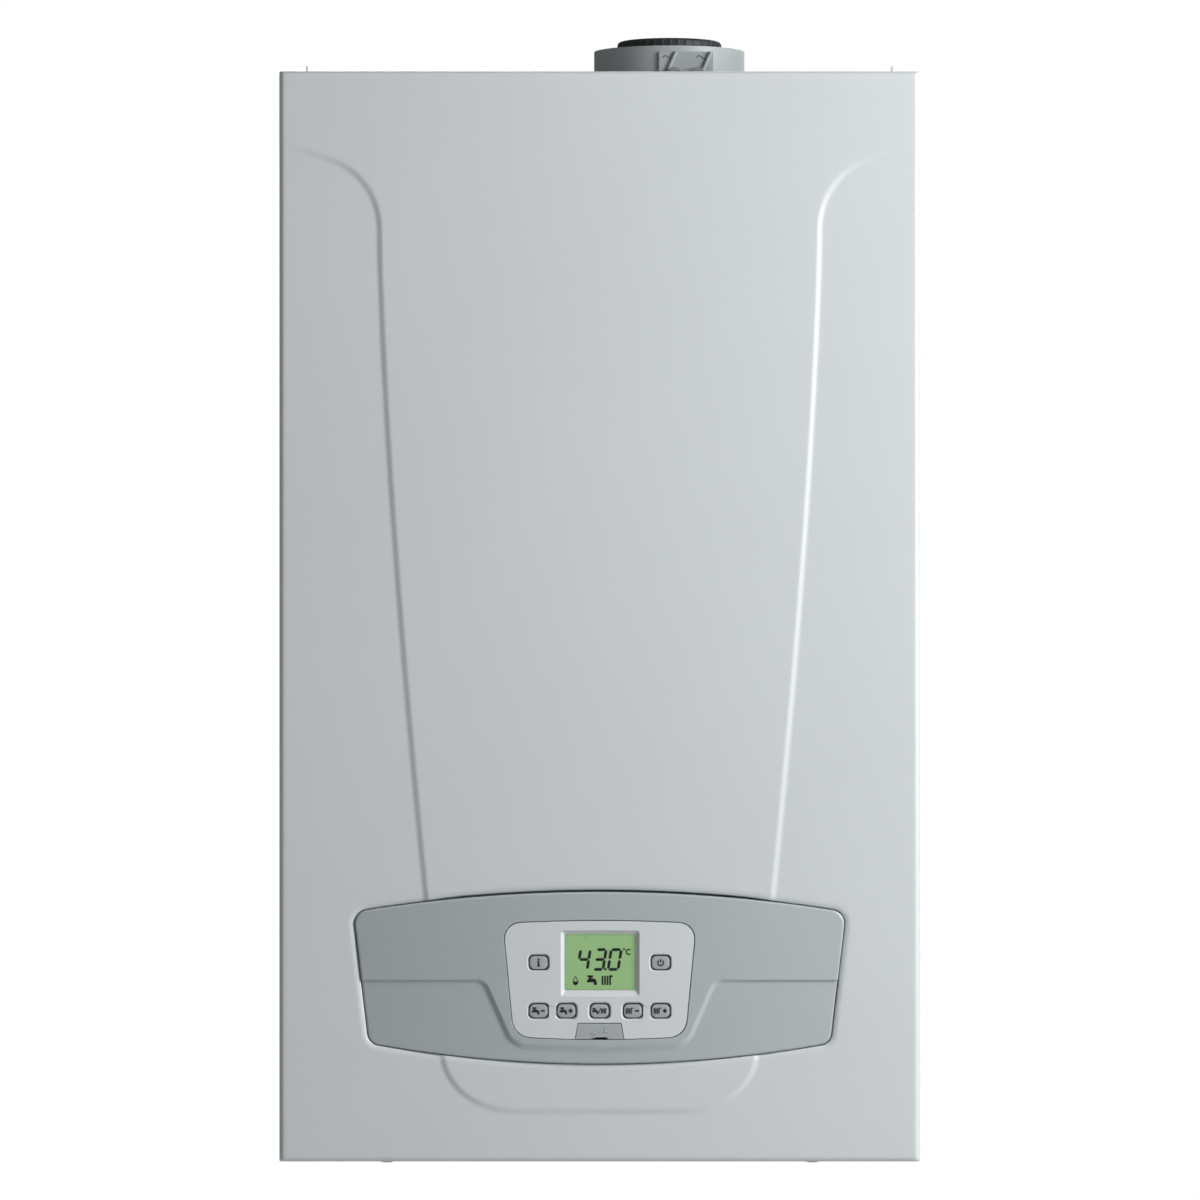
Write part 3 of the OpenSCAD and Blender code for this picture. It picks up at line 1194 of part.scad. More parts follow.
// A rounded pocket that grows out from the wall and widens on its way
module flared(w, h, r, depth, grow) {
    low = round_rect(w, h, r);
    high = round_rect(w + 2 * grow, h + 2 * grow, r + grow);
    n = len(low);
    polyhedron(
        points = concat([for (q = low) [q[0], 0, q[1]]], [for (q = high) [q[0], -depth, q[1]]]),
        faces = concat(
            [for (k = [0:n - 1]) let (j = (k + 1) % n) [n + k, n + j, j, k]],
            [[for (k = [0:n - 1]) k], [for (k = [n - 1:-1:0]) n + k]]));
}
flap_top = 97.7;
flap_h = 11;
flap_top_w = 15;
flap_low_w = 17;
flap_t = 2;
flap_gap = 0.4;
stop_w = 42;
notch_w = 11.2;
notch_h = 1.2;
flap_pin_h = flap_top - flap_t / 2;
flap_pin_d = face_d - flap_t / 2 - 0.1;
flap_pin_r = 0.6;
function flap_outline(grow) = [
    [-flap_low_w - grow, flap_top - flap_h - grow], [flap_low_w + grow, flap_top - flap_h - grow],
    [flap_top_w + grow, flap_top + grow], [-flap_top_w - grow, flap_top + grow]];
function window(grow, r) = raised(round_rect(window_w + grow, window_h + grow, r), window_at[0], window_at[1]);
function key_shape(k, grow, r) = raised(round_rect(button_w + grow, button_h + grow, r), k[0], k[1]);
module display_panel() color("#b7bcbf") difference() {
    union() {
        intersection() {
            face(bezel_back, face_d + 2) polygon(panel_outline(bezel_form, 0));
            under_face(-0.2);
        }
        face(rim_back, bezel_back + 0.1) polygon(panel_outline(bezel_form, -1));
        // Rim that rests behind the fascia, and the stop behind the service cover
        face(rim_back, rim_front) intersection() {
            polygon(panel_outline(bezel_form, 3));
            translate([-100, flap_top - flap_h + 5]) square([200, 100]);
        }
        face(rim_back - 2, rim_back + 0.1)
            translate([-stop_w / 2, flap_top - flap_h + 1.5]) square([stop_w, flap_h + 3]);
    }
    // Display window with its sloping frame
    face(bezel_back - 10, face_d + 4) polygon(window(0, window_corner_r));
    face(bezel_back - 10, bezel_back) polygon(window(2 * display_rim + 2 * near, window_corner_r));
    hull() {
        face(face_d - frame_low, face_d - frame_low + 0.01) polygon(window(1, window_corner_r));
        face(face_d + 0.4, face_d + 0.5)
            polygon(raised(round_rect(frame_w, frame_h, 2), window_at[0], window_at[1] - 1));
    }
    // Button holes, with a seat behind and a flared pocket in front
    for (k = keys) {
        face(bezel_back - 10, face_d + 4) polygon(key_shape(k, 2 * button_gap, key_r));
        face(bezel_back - 10, bezel_back) polygon(key_shape(k, 2 * key_rim + 2 * button_gap, key_r));
        put(k[0], face_d - pocket_depth, k[1]) flared(
            button_w + 2 * button_gap, button_h + 2 * button_gap, key_r, pocket_depth + 0.4, pocket_grow);
    }
    // Shallow links between the paired buttons
    for (s = [-1, 1]) face(face_d - 0.6, face_d + 4)
        translate([s * (keys[5][0] + keys[6][0]) / 2 - link_w / 2, keys[5][1] - link_h / 2])
            square([link_w, link_h]);
    face(rim_back, face_d + 4) polygon(flap_outline(flap_gap));
    for (s = [-1, 1]) put(s * (flap_top_w + 1.4) - 1.4, flap_pin_d, flap_pin_h) rod_x(flap_pin_r + 0.08, 2.8);
}
module display() color("#8db27f") {
    face(bezel_back - 6, bezel_back - 0.2) polygon(window(2 * display_rim, window_corner_r));
    face(bezel_back - 0.3, bezel_back + 1.2) polygon(window(-0.4, window_corner_r - 0.2));
}
board_d = bezel_back - 18;
switch_top = bezel_back - 6;
board_t = 1.6;
board_x = 58;
board_h = [92, 168];
spacer_x = 52;
low_board_d = box_back + 8;
low_board_x = 160;
low_board_h = [72, 206];
capacitor_r = 7;
terminal_w = 12;
module key_switch(x, h) {
    block([x - 3, x + 3], [board_d + 1, switch_top - 2], [h - 3, h + 3]);
    put(x, switch_top - 2.1, h) rod_out(1.7, 2.1);
}
module main_board() color("#2f6b3c") {
    block([-board_x, board_x], from(board_d, 1 - board_t, 1), board_h);
    block([-26, 27], [board_d + 0.9, bezel_back - 6], [122, 158]);
    for (k = keys) key_switch(k[0], k[1]);
    block([-low_board_x, low_board_x], from(low_board_d, 0, board_t), low_board_h);
    // Spacers
    for (x = [-spacer_x, spacer_x], h = within(board_h, 5))
        put(x, low_board_d + 1, h) rod_out(2.5, board_d - low_board_d - 1);
    for (s = [-1, 1], h = within(low_board_h, 8))
        put(s * (low_board_x - 10), box_back + box_wall, h) rod_out(3, 6);
    // Capacitors, transformer and terminal blocks
    for (x = [-140:22:-74]) put(x, low_board_d + 1, low_board_h[1] - 10) rod_out(capacitor_r, 24);
    block([-140, -90], from(low_board_d, 1, 34), [90, 140]);
    for (x = [84:16:140]) block(from(x, 0, terminal_w), from(low_board_d, 1, 14), [84, 100]);
}

key_flange_t = 1.5;
key_back = bezel_back - near - key_flange_t;
tappet_r = 2.5;
tappet_d = switch_top + button_travel + 0.1;
module button(k) color("#a4abae") {
    face(key_back, face_d + key_rise - 0.8) polygon(key_shape(k, 0, key_r - button_gap));
    face(face_d + key_rise - 0.9, face_d + key_rise) polygon(key_shape(k, -1, key_r - button_gap - 0.5));
    face(key_back, bezel_back - near) polygon(key_shape(k, 2 * key_rim - 0.4, key_r - button_gap));
    put(k[0], tappet_d, k[1]) rod_out(tappet_r, key_back + 0.1 - tappet_d);
}
module button_info() button(keys[0]);
module button_reset() button(keys[1]);
module button_water_down() button(keys[2]);
module button_water_up() button(keys[3]);
module button_mode() button(keys[4]);
module button_heating_down() button(keys[5]);
module button_heating_up() button(keys[6]);

module service_cover() color("#b0b5b8") {
    difference() {
        face(face_d - flap_t - 0.1, face_d - 0.1) polygon(flap_outline(0));
        // Round top edge about the pin, and the notch where a screwdriver goes in
        difference() {
            block([-30, 30], [face_d - flap_t - 1, face_d + 1], [flap_pin_h, flap_top + 1]);
            put(-31, flap_pin_d, flap_pin_h) rod_x(flap_t / 2, 62);
        }
        face(face_d - flap_t - 1, face_d + 1)
            translate([-notch_w / 2, flap_top - flap_h - 1]) square([notch_w, notch_h + 1]);
    }
    for (s = [-1, 1]) put(s * (flap_top_w + 0.6) - 0.8, flap_pin_d, flap_pin_h) rod_x(flap_pin_r, 1.6);
}

front_casing();
casing_gasket();
casing_screws();
side_panel_left();
side_panel_right();
top_panel();
back_frame();
bottom_plate();
support_rails();
frame_screws();
flue_adaptor();
flue_pipe();
flue_seal();
sampling_caps();
air_cover();
expansion_vessel();
vessel_hose();
exchanger_housing();
exchanger_coil();
burner();
burner_door();
door_nuts();
ignition_electrode();
spark_generator();
ignition_lead();
fan_housing();
fan_impeller();
fan_motor();
gas_mixer();
air_silencer();
gas_valve();
gas_pipe();
gas_feed_tube();
flow_pipe();
return_pipe();
plate_heat_exchanger();
diverter_block();
diverter_motor();
pump_block();
pump_motor();
air_vent();
safety_knob();
filling_knob();
pressure_gauge();
gauge_needle();
condensate_trap();
condensate_hose();
control_box();
fascia();
display_panel();
display();
main_board();
button_info();
button_reset();
button_water_down();
button_water_up();
button_mode();
button_heating_down();
button_heating_up();
service_cover();
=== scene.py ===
import math

import bmesh
import bpy
import numpy as np
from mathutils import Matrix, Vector
from mathutils.geometry import delaunay_2d_cdt


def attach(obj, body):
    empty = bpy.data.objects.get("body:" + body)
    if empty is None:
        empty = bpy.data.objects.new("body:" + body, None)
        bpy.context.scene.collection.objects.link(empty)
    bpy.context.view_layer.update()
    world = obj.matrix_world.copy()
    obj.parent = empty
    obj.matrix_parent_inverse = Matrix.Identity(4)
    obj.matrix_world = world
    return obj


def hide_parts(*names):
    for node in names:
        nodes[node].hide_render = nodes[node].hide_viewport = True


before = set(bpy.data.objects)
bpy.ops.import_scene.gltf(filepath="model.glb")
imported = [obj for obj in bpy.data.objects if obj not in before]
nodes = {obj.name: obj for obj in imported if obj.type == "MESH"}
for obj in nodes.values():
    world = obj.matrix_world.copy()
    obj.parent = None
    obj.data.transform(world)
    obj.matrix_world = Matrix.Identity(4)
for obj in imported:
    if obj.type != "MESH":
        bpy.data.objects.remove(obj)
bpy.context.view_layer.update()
scene = bpy.context.scene

# Sizes in mm: x to the right, d out from the wall, h above the casing's foot, which is at BASE in the frame
BASE = -721.0
HALF_W = 225.0
BODY_H = 766.0
CASING_BACK = 309.0
CASING_T = 1.0
EDGE_R = 4.0
HOOK_CUT = (205.3, 207.7)
HOOK_DEPTH = 17

# The shield pressed into the casing: its level, height and slope, half widths, shoulders and foot
SHIELD_FACE = 344.2
EMBOSS = 1.35
SIDE_FACE = SHIELD_FACE - EMBOSS
RAMP = 5.2
SHIELD_TOP_W = 152.0
SHIELD_FOOT_W = 107.8
SHIELD_FOOT_H = 38.1
SHOULDER_H = 655.0
SHOULDER_R = 54.6
SHOULDER_TURN = 70.0
FOOT_H = SHIELD_FOOT_H + 39.4
FOOT_W = 49.5
FADE = (SHOULDER_H + 40, SHOULDER_H + 68)
SIDE_POWER = 1.45
END_RUN = 80

# Panels: top and low edge's h in the middle, their two arches' radii, half width at the top, the sides' lean
# in degrees, and the radii of the top and low corners
FASCIA = (188.9, 69.9, 1050, 931, 173.1, 6.1, 9, 8)
BEZEL = (169.5, 86.6, 1160, 900, 69.9, 8.6, 11, 13)

# The casing's cut-out: its gap to the fascia, and the lip's dip and rolled edge
FASCIA_GAP = 1.8
LIP_REACH = 0.5
TOP_GAP = 0.4
TOP_GAP_HALF = SHIELD_FOOT_W + 22
TOP_GAP_BLEND = 30
TOP_GAP_H = (130, 150)
LIP_ROOM = 9.0
LIP_W = 4.6
LIP_DIP = 0.75
LIP_LEAN = 23
ROLL = 0.9
LIP_BACK = 336.0

# The fascia: its front, rims, bow and the step down to its cheeks
FACE_D = 348.0
FACE_CURVE = 3290.0
FACE_RIM = 1.7
FACE_GROW = 0.8
HOLE_RIM = 0.5
HOLE_GROW = 0.5
BOW = 2.1
CHEEK_DROP = 2.0
STEP_H = 127.3
STEP_X = 87.1
STEP_R = 9.0
FOOT_X = 50.5
FOOT_R = 16.0
FOOT_LINE_H = 79.0
FOOT_ARCH = 2.2
SLANT_TURN = 22.5
BOX_W = 390.0
BOX_H = (44.0, 232.0)
BOX_FRONT = 335.0
COVER_T = 2.0
COVER_SHARE = 0.9968

# Keys and display: each key's middle in x and h
KEYS = {
    "info": (-42.8, 140.3), "reset": (42.8, 140.3), "water_down": (-42.8, 106.4), "water_up": (-23.3, 106.4),
    "mode": (0.0, 106.4), "heating_down": (23.3, 106.4), "heating_up": (42.8, 106.4)}
KEY_FRONT = FACE_D + 0.05
KEY_BACK = FACE_D - 5.3
KEY_FLANGE = 1.4
KEY_W = 13.0
KEY_H = 9.7
KEY_R = 3.4
KEY_BARREL = 0.35
LCD_FRONT = 345.7
LCD_SLANT = 9

# The flue collar
FLUE_X = 51.0
FLUE_D = 170.0
COLLAR_R = 55.0
COLLAR_TOP = BODY_H + 29


def at(x, d, h):
    """A point of the frame, in metres."""
    return (x * 0.001, -d * 0.001, (BASE + h) * 0.001)


def srgb(*rgb):
    """A colour of the shaders from its 0 to 255 values."""
    shares = [c / 255 for c in rgb]
    return tuple(c / 12.92 if c <= 0.04045 else ((c + 0.055) / 1.055) ** 2.4 for c in shares) + (1.0,)


def mesh_object(name, points, faces, smooth=True):
    """A new object from points in x, d and h."""
    me = bpy.data.meshes.new(name)
    me.from_pydata([at(*p) for p in points], [], faces)
    me.polygons.foreach_set("use_smooth", [smooth] * len(me.polygons))
    me.update()
    o = bpy.data.objects.new(name, me)
    scene.collection.objects.link(o)
    return o


# Materials
class Shader:
    """A material with helpers that add its nodes."""
    def __init__(self, name):
        self.m = bpy.data.materials.new(name)
        self.m.use_nodes = True
        self.t = self.m.node_tree
        self.p = self.t.nodes["Principled BSDF"]
        self.coord = self.t.nodes.new("ShaderNodeTexCoord")

    def node(self, kind, **values):
        n = self.t.nodes.new(kind)
        for k, v in values.items():
            setattr(n, k, v)
        return n

    def link(self, a, b):
        self.t.links.new(a, b)

    def noise(self, scale, detail=3.0, rough=0.5, stretch=None):
        n = self.node("ShaderNodeTexNoise")
        n.inputs["Scale"].default_value = scale
        n.inputs["Detail"].default_value = detail
        n.inputs["Roughness"].default_value = rough
        source = self.coord.outputs["Object"]
        if stretch:
            mapping = self.node("ShaderNodeMapping")
            mapping.inputs["Scale"].default_value = stretch
            self.link(source, mapping.inputs["Vector"])
            source = mapping.outputs["Vector"]
        self.link(source, n.inputs["Vector"])
        return n.outputs["Fac"]

    def cells(self, scale):
        n = self.node("ShaderNodeTexVoronoi")
        n.inputs["Scale"].default_value = scale
        self.link(self.coord.outputs["Object"], n.inputs["Vector"])
        return n.outputs["Color"]

    def range(self, value, low, high, lo_in=0.3, hi_in=0.7):
        n = self.node("ShaderNodeMapRange")
        n.inputs["From Min"].default_value = lo_in
        n.inputs["From Max"].default_value = hi_in
        n.inputs["To Min"].default_value = low
        n.inputs["To Max"].default_value = high
        self.link(value, n.inputs["Value"])
        return n.outputs["Result"]

    def blend(self, fac, a, b):
        n = self.node("ShaderNodeMix", data_type="RGBA")
        self.link(fac, n.inputs["Factor"])
        for socket, value in ((n.inputs[6], a), (n.inputs[7], b)):
            if isinstance(value, tuple):
                socket.default_value = value
            else:
                self.link(value, socket)
        return n.outputs[2]

    def bump(self, height, distance):
        n = self.node("ShaderNodeBump")
        n.inputs["Strength"].default_value = 1.0
        n.inputs["Distance"].default_value = distance
        self.link(height, n.inputs["Height"])
        self.link(n.outputs["Normal"], self.p.inputs["Normal"])


def scaled(c, k):
    """A colour made k times as bright."""
    return tuple(min(v * k, 1.0) for v in c[:3]) + (1.0,)


def finish(name, color, rough=0.5, vary=0.06, cloud=9.0, metal=0.0, grain=1400.0, depth=0.00003,
           rough_vary=0.06, coat=0.0, stretch=None):
    """A surface with cloudy colour, uneven gloss and a fine grain."""
    s = Shader(name)
    fac = s.range(s.noise(cloud, 4.0, 0.6, stretch), 0.0, 1.0)
    s.link(s.blend(fac, scaled(color, 1 - vary), scaled(color, 1 + vary)), s.p.inputs["Base Color"])
    s.p.inputs["Metallic"].default_value = metal
    s.p.inputs["Coat Weight"].default_value = coat
    s.p.inputs["Coat Roughness"].default_value = 0.12
    gloss = s.noise(cloud * 4, 3.0, 0.6, stretch)
    s.link(s.range(gloss, rough - rough_vary, rough + rough_vary), s.p.inputs["Roughness"])
    s.bump(s.noise(grain, 2.0, 0.5, stretch), depth)
    return s


def spangled(name, color, rough=0.38):
    """Galvanised sheet: patches of crystal that take the light differently."""
    s = Shader(name)
    patch = s.cells(95.0)
    bw = s.node("ShaderNodeRGBToBW")
    s.link(patch, bw.inputs["Color"])
    fac = s.range(bw.outputs["Val"], 0.0, 1.0, 0.1, 0.9)
    s.link(s.blend(fac, scaled(color, 0.86), scaled(color, 1.08)), s.p.inputs["Base Color"])
    s.p.inputs["Metallic"].default_value = 0.75
    s.link(s.range(bw.outputs["Val"], rough - 0.07, rough + 0.12, 0.1, 0.9), s.p.inputs["Roughness"])
    s.bump(s.noise(700.0, 2.0), 0.00003)
    return s


def copper(name, color):
    """Copper with dark stains."""
    s = finish(name, color, rough=0.3, vary=0.1, cloud=40.0, metal=1.0, grain=600.0, depth=0.00002)
    stain = s.range(s.noise(22.0, 5.0, 0.7), 0.0, 0.55, 0.52, 0.75)
    base = s.p.inputs["Base Color"].links[0].from_socket
    s.link(s.blend(stain, base, scaled(color, 0.45)), s.p.inputs["Base Color"])
    return s


def braided(name, color):
    """Steel braid: two waves that cross."""
    s = finish(name, color, rough=0.35, metal=0.9, grain=500.0)
    heights = []
    for tilt in (0.9, -0.9):
        mapping = s.node("ShaderNodeMapping")
        mapping.inputs["Rotation"].default_value = (tilt, tilt, 0.0)
        s.link(s.coord.outputs["Object"], mapping.inputs["Vector"])
        wave = s.node("ShaderNodeTexWave", bands_direction="Z")
        wave.inputs["Scale"].default_value = 190.0
        s.link(mapping.outputs["Vector"], wave.inputs["Vector"])
        heights.append(wave.outputs["Fac"])
    top = s.node("ShaderNodeMath", operation="MAXIMUM")
    s.link(heights[0], top.inputs[0])
    s.link(heights[1], top.inputs[1])
    s.bump(top.outputs["Value"], 0.0004)
    return s


def board(name, color):
    """A circuit board with a fine grid of tracks."""
    s = finish(name, color, rough=0.35, vary=0.1, cloud=60.0, grain=900.0)
    brick = s.node("ShaderNodeTexBrick")
    brick.inputs["Scale"].default_value = 240.0
    brick.inputs["Color1"].default_value = scaled(color, 0.85)
    brick.inputs["Color2"].default_value = scaled(color, 1.1)
    brick.inputs["Mortar"].default_value = scaled(color, 1.7)
    brick.inputs["Mortar Size"].default_value = 0.03
    s.link(s.coord.outputs["Object"], brick.inputs["Vector"])
    s.link(brick.outputs["Color"], s.p.inputs["Base Color"])
    return s


def lit(name, color, strength):
    """A display's surface with a weak light of its own."""
    s = finish(name, color, rough=0.28, vary=0.004, cloud=30.0, grain=2600.0, depth=0.00001, rough_vary=0.01)
    s.p.inputs["Emission Color"].default_value = color
    s.p.inputs["Emission Strength"].default_value = strength
    return s


M = {
    "casing": finish("powder_coat", srgb(200, 205, 207), rough=0.36, vary=0.012, cloud=5.0, grain=1500.0,
                     depth=0.00002, rough_vary=0.03, coat=0.12),
    "frame": finish("frame_coat", srgb(206, 209, 210), rough=0.42, vary=0.02, grain=1500.0),
    "galvanised": spangled("galvanised", srgb(176, 180, 181)),
    "screw": finish("zinc", srgb(190, 192, 190), rough=0.3, metal=0.9, cloud=80.0, grain=3000.0),
    "gasket": finish("foam", srgb(60, 63, 65), rough=0.9, grain=1800.0, depth=0.0002),
    "collar": finish("collar_plastic", srgb(152, 158, 160), rough=0.5, vary=0.03, grain=1600.0,
                     depth=0.00004),
    "seal": finish("seal_rubber", srgb(33, 36, 38), rough=0.62, vary=0.12, cloud=30.0, grain=1200.0,
                   depth=0.00005),
    "cap": finish("cap_plastic", srgb(118, 123, 125), rough=0.5, grain=1600.0),
    "flue_steel": finish("rolled_steel", srgb(190, 194, 197), rough=0.3, metal=0.9, cloud=14.0, grain=500.0,
                         stretch=(1.0, 1.0, 0.05)),
    "vessel": finish("red_paint", srgb(172, 46, 38), rough=0.32, cloud=12.0, grain=900.0, coat=0.4),
    "braid": braided("steel_braid", srgb(165, 168, 170)),
    "cast": finish("cast_alloy", srgb(170, 174, 176), rough=0.52, vary=0.08, cloud=30.0, metal=0.55,
                   grain=420.0, depth=0.00022),
    "stainless": finish("stainless", srgb(200, 202, 204), rough=0.28, vary=0.05, metal=1.0, cloud=20.0,
                        grain=700.0, stretch=(1.0, 0.08, 1.0)),
    "ceramic": finish("ceramic", srgb(232, 229, 218), rough=0.2, vary=0.03, cloud=60.0, coat=0.6),
    "black": finish("black_plastic", srgb(38, 41, 43), rough=0.5, vary=0.1, cloud=30.0, grain=1300.0,
                    depth=0.00006),
    "lead": finish("silicone_lead", srgb(186, 62, 44), rough=0.55, vary=0.08, cloud=60.0, grain=1200.0),
    "fan": finish("fan_plastic", srgb(46, 50, 52), rough=0.45, vary=0.1, cloud=60.0, grain=1000.0,
                  depth=0.00006),
    "silencer": finish("silencer_plastic", srgb(58, 62, 65), rough=0.6, vary=0.08, cloud=20.0, grain=700.0,
                       depth=0.00015),
    "copper": copper("copper", srgb(200, 128, 92)),
    "brass": finish("brass", srgb(184, 150, 84), rough=0.33, vary=0.08, cloud=50.0, metal=1.0, grain=700.0,
                    depth=0.00006),
    "iron": finish("painted_casting", srgb(98, 103, 106), rough=0.5, vary=0.08, cloud=30.0, grain=420.0,
                   depth=0.00025),
    "pump": finish("pump_paint", srgb(128, 42, 34), rough=0.38, vary=0.08, cloud=30.0, grain=500.0,
                   depth=0.0001, coat=0.2),
    "red": finish("red_plastic", srgb(178, 48, 38), rough=0.42, vary=0.05, cloud=60.0),
    "trap": finish("trap_plastic", srgb(128, 133, 136), rough=0.5, vary=0.05, cloud=24.0, grain=800.0),
    "hose": finish("hose_plastic", srgb(158, 163, 166), rough=0.45, cloud=40.0),
    "box": finish("box_plastic", srgb(56, 60, 62), rough=0.55, vary=0.07, cloud=18.0, grain=1100.0,
                  depth=0.00008),
    "fascia": finish("fascia_paint", srgb(166, 174, 176), rough=0.4, vary=0.012, cloud=8.0, grain=2600.0,
                     depth=0.000012, rough_vary=0.03, coat=0.5),
    "bezel": finish("bezel_plastic", srgb(201, 206, 208), rough=0.42, vary=0.01, cloud=14.0, grain=2600.0,
                    depth=0.000012),
    "key": finish("key_plastic", srgb(158, 164, 167), vary=0.03, cloud=60.0, grain=3000.0, depth=0.00002),
    # Painted shade: a dark grey for the keys' edges that draws the shadow line round each key
    "key_outline_painted_shade": finish("key_outline_painted_shade", srgb(72, 77, 80), rough=0.6, vary=0.1, cloud=90.0, grain=3000.0,
                       depth=0.00002),
    "flap": finish("flap_plastic", srgb(160, 166, 169), rough=0.45, vary=0.02, cloud=40.0, grain=2600.0),
    "lcd": lit("lcd_green", srgb(139, 175, 122), 0.14),
    "ink": finish("ink", srgb(18, 22, 20), rough=0.45, vary=0.2, cloud=200.0, grain=3000.0),
    "print": finish("print", srgb(30, 34, 36), rough=0.5, vary=0.1, cloud=200.0, grain=3000.0),
    "plates": finish("brazed_plates", srgb(198, 195, 188), rough=0.36, metal=0.95, cloud=40.0, grain=900.0,
                     depth=0.00001),
    "board": board("board", srgb(42, 96, 56)),
    "dial": finish("dial", srgb(238, 238, 234), rough=0.4, vary=0.02, cloud=80.0),
    "needle": finish("needle_paint", srgb(206, 52, 38), rough=0.4, vary=0.05, cloud=80.0),
}


# Modifiers
def mesh_group(name):
    """A group of geometry nodes with its way in and out."""
    g = bpy.data.node_groups.new(name, "GeometryNodeTree")
    for way in ("INPUT", "OUTPUT"):
        g.interface.new_socket("Geometry", in_out=way, socket_type="NodeSocketGeometry")
    return g, g.nodes.new("NodeGroupInput").outputs[0], g.nodes.new("NodeGroupOutput").inputs[0]


def shade_group(name, sharp):
    """Smooth faces, with edges over the given angle kept sharp."""
    g, enter, leave = mesh_group(name)
    faces = g.nodes.new("GeometryNodeSetShadeSmooth")
    edges = g.nodes.new("GeometryNodeSetShadeSmooth")
    edges.domain = "EDGE"
    angle = g.nodes.new("GeometryNodeInputMeshEdgeAngle")
    less = g.nodes.new("FunctionNodeCompare")
    less.operation = "LESS_THAN"
    less.inputs["B"].default_value = math.radians(sharp)
    g.links.new(angle.outputs["Unsigned Angle"], less.inputs["A"])
    g.links.new(enter, faces.inputs["Geometry"])
    g.links.new(faces.outputs["Geometry"], edges.inputs["Geometry"])
    g.links.new(less.outputs["Result"], edges.inputs["Shade Smooth"])
    g.links.new(edges.outputs["Geometry"], leave)
    return g


SMOOTH = shade_group("smooth_faces", 44)
CRISP = shade_group("crisp_faces", 24)


def narrow(o, share):
    """Scales a piece across, so that it has a little play on both of its sides."""
    g, enter, leave = mesh_group("narrow")
    scale = g.nodes.new("GeometryNodeTransform")
    scale.inputs["Scale"].default_value = (share, 1.0, 1.0)
    g.links.new(enter, scale.inputs["Geometry"])
    g.links.new(scale.outputs[0], leave)
    o.modifiers.new("play", "NODES").node_group = g


WELD = 0.000004
FLAT_ANGLE = 0.4


def soften(o, width, segments=2, angle=32, shading=None, flatten=True):
    """Joins a mesh's split points, rounds its edges by the width in mm and smooths its shading. Faces with
    holes close to an edge aren't flattened, because the rounding would fold them."""
    m = o.modifiers.new("weld", "WELD")
    m.merge_threshold = WELD
    if flatten:
        m = o.modifiers.new("flat", "DECIMATE")
        m.decimate_type = "DISSOLVE"
        m.angle_limit = math.radians(FLAT_ANGLE)
    if width:
        m = o.modifiers.new("round", "BEVEL")
        m.width = width * 0.001
        m.segments = segments
        m.limit_method = "ANGLE"
        m.angle_limit = math.radians(angle)
        m.use_clamp_overlap = True
        m.miter_outer = "MITER_ARC"
    m = o.modifiers.new("shade", "NODES")
    m.node_group = shading or SMOOTH
    m = o.modifiers.new("normals", "WEIGHTED_NORMAL")
    m.keep_sharp = True


def paint(o, material):
    o.data.materials.clear()
    o.data.materials.append(M[material].m)


def dress(names, material, width=0.5, segments=2, flatten=True):
    """Softens and paints the frame's own meshes of the nodes named."""
    for n in names.split():
        soften(nodes[n], width, segments, flatten=flatten)
        paint(nodes[n], material)


dress("casing_gasket", "gasket", 0.2)
dress("casing_screws frame_screws door_nuts", "screw", 0.3)
dress("side_panel_left side_panel_right top_panel", "frame", 0.35)
dress("back_frame bottom_plate support_rails", "galvanised", 0.35)
dress("flue_adaptor air_cover", "collar", 0.7, 3)
dress("flue_pipe", "flue_steel", 0.5)
dress("sampling_caps", "cap", 0.5)
dress("expansion_vessel", "vessel", 0.8)
dress("vessel_hose", "braid", 0)
dress("exchanger_housing gas_mixer gas_valve", "cast", 0.9, 3)
dress("burner_door fan_housing", "cast", 0, flatten=False)
dress("exchanger_coil burner", "stainless", 0.3)
dress("plate_heat_exchanger", "plates", 0, flatten=False)
dress("ignition_electrode", "ceramic", 0.4)
dress("spark_generator fan_motor diverter_motor pressure_gauge", "black", 0.7, 3)
dress("ignition_lead", "lead", 0)
dress("fan_impeller", "fan", 0.2)
dress("air_silencer", "silencer", 0, flatten=False)
dress("gas_pipe gas_feed_tube flow_pipe return_pipe", "copper", 0.4)
dress("diverter_block air_vent", "brass", 0.9, 3)
dress("pump_block", "iron", 1.2, 3)
dress("pump_motor", "pump", 0.8, 3)
dress("safety_knob", "red", 0.7, 3)
dress("filling_knob", "black", 0.7, 3)
dress("gauge_needle", "needle", 0.1)
dress("condensate_trap", "trap", 0.8, 3)
dress("condensate_hose", "hose", 0)
dress("control_box", "box", 0, flatten=False)
soften(nodes["display_panel"], 0.2, 2, 50, CRISP)
paint(nodes["display_panel"], "bezel")
dress("display", "lcd", 0.1)
dress("main_board", "board", 0.15)
narrow(nodes["service_cover"], COVER_SHARE)
soften(nodes["service_cover"], 0.1, 2, 60)
paint(nodes["service_cover"], "flap")
dress("flue_seal", "seal", 0.4)


# The front casing: one pressed sheet with the raised shield, folded returns and the rolled cut-out
def eased(t):
    """0 to 1 with a soft start and end."""
    t = np.clip(t, 0.0, 1.0)
    return t * t * (3 - 2 * t)


def arc(c, r, a0, a1, n):
    """Points of an arc about c, from the angle a0 to a1 in degrees."""
    angles = [math.radians(a0 + (a1 - a0) * i / n) for i in range(n + 1)]
    return [(c[0] + r * math.cos(a), c[1] + r * math.sin(a)) for a in angles]


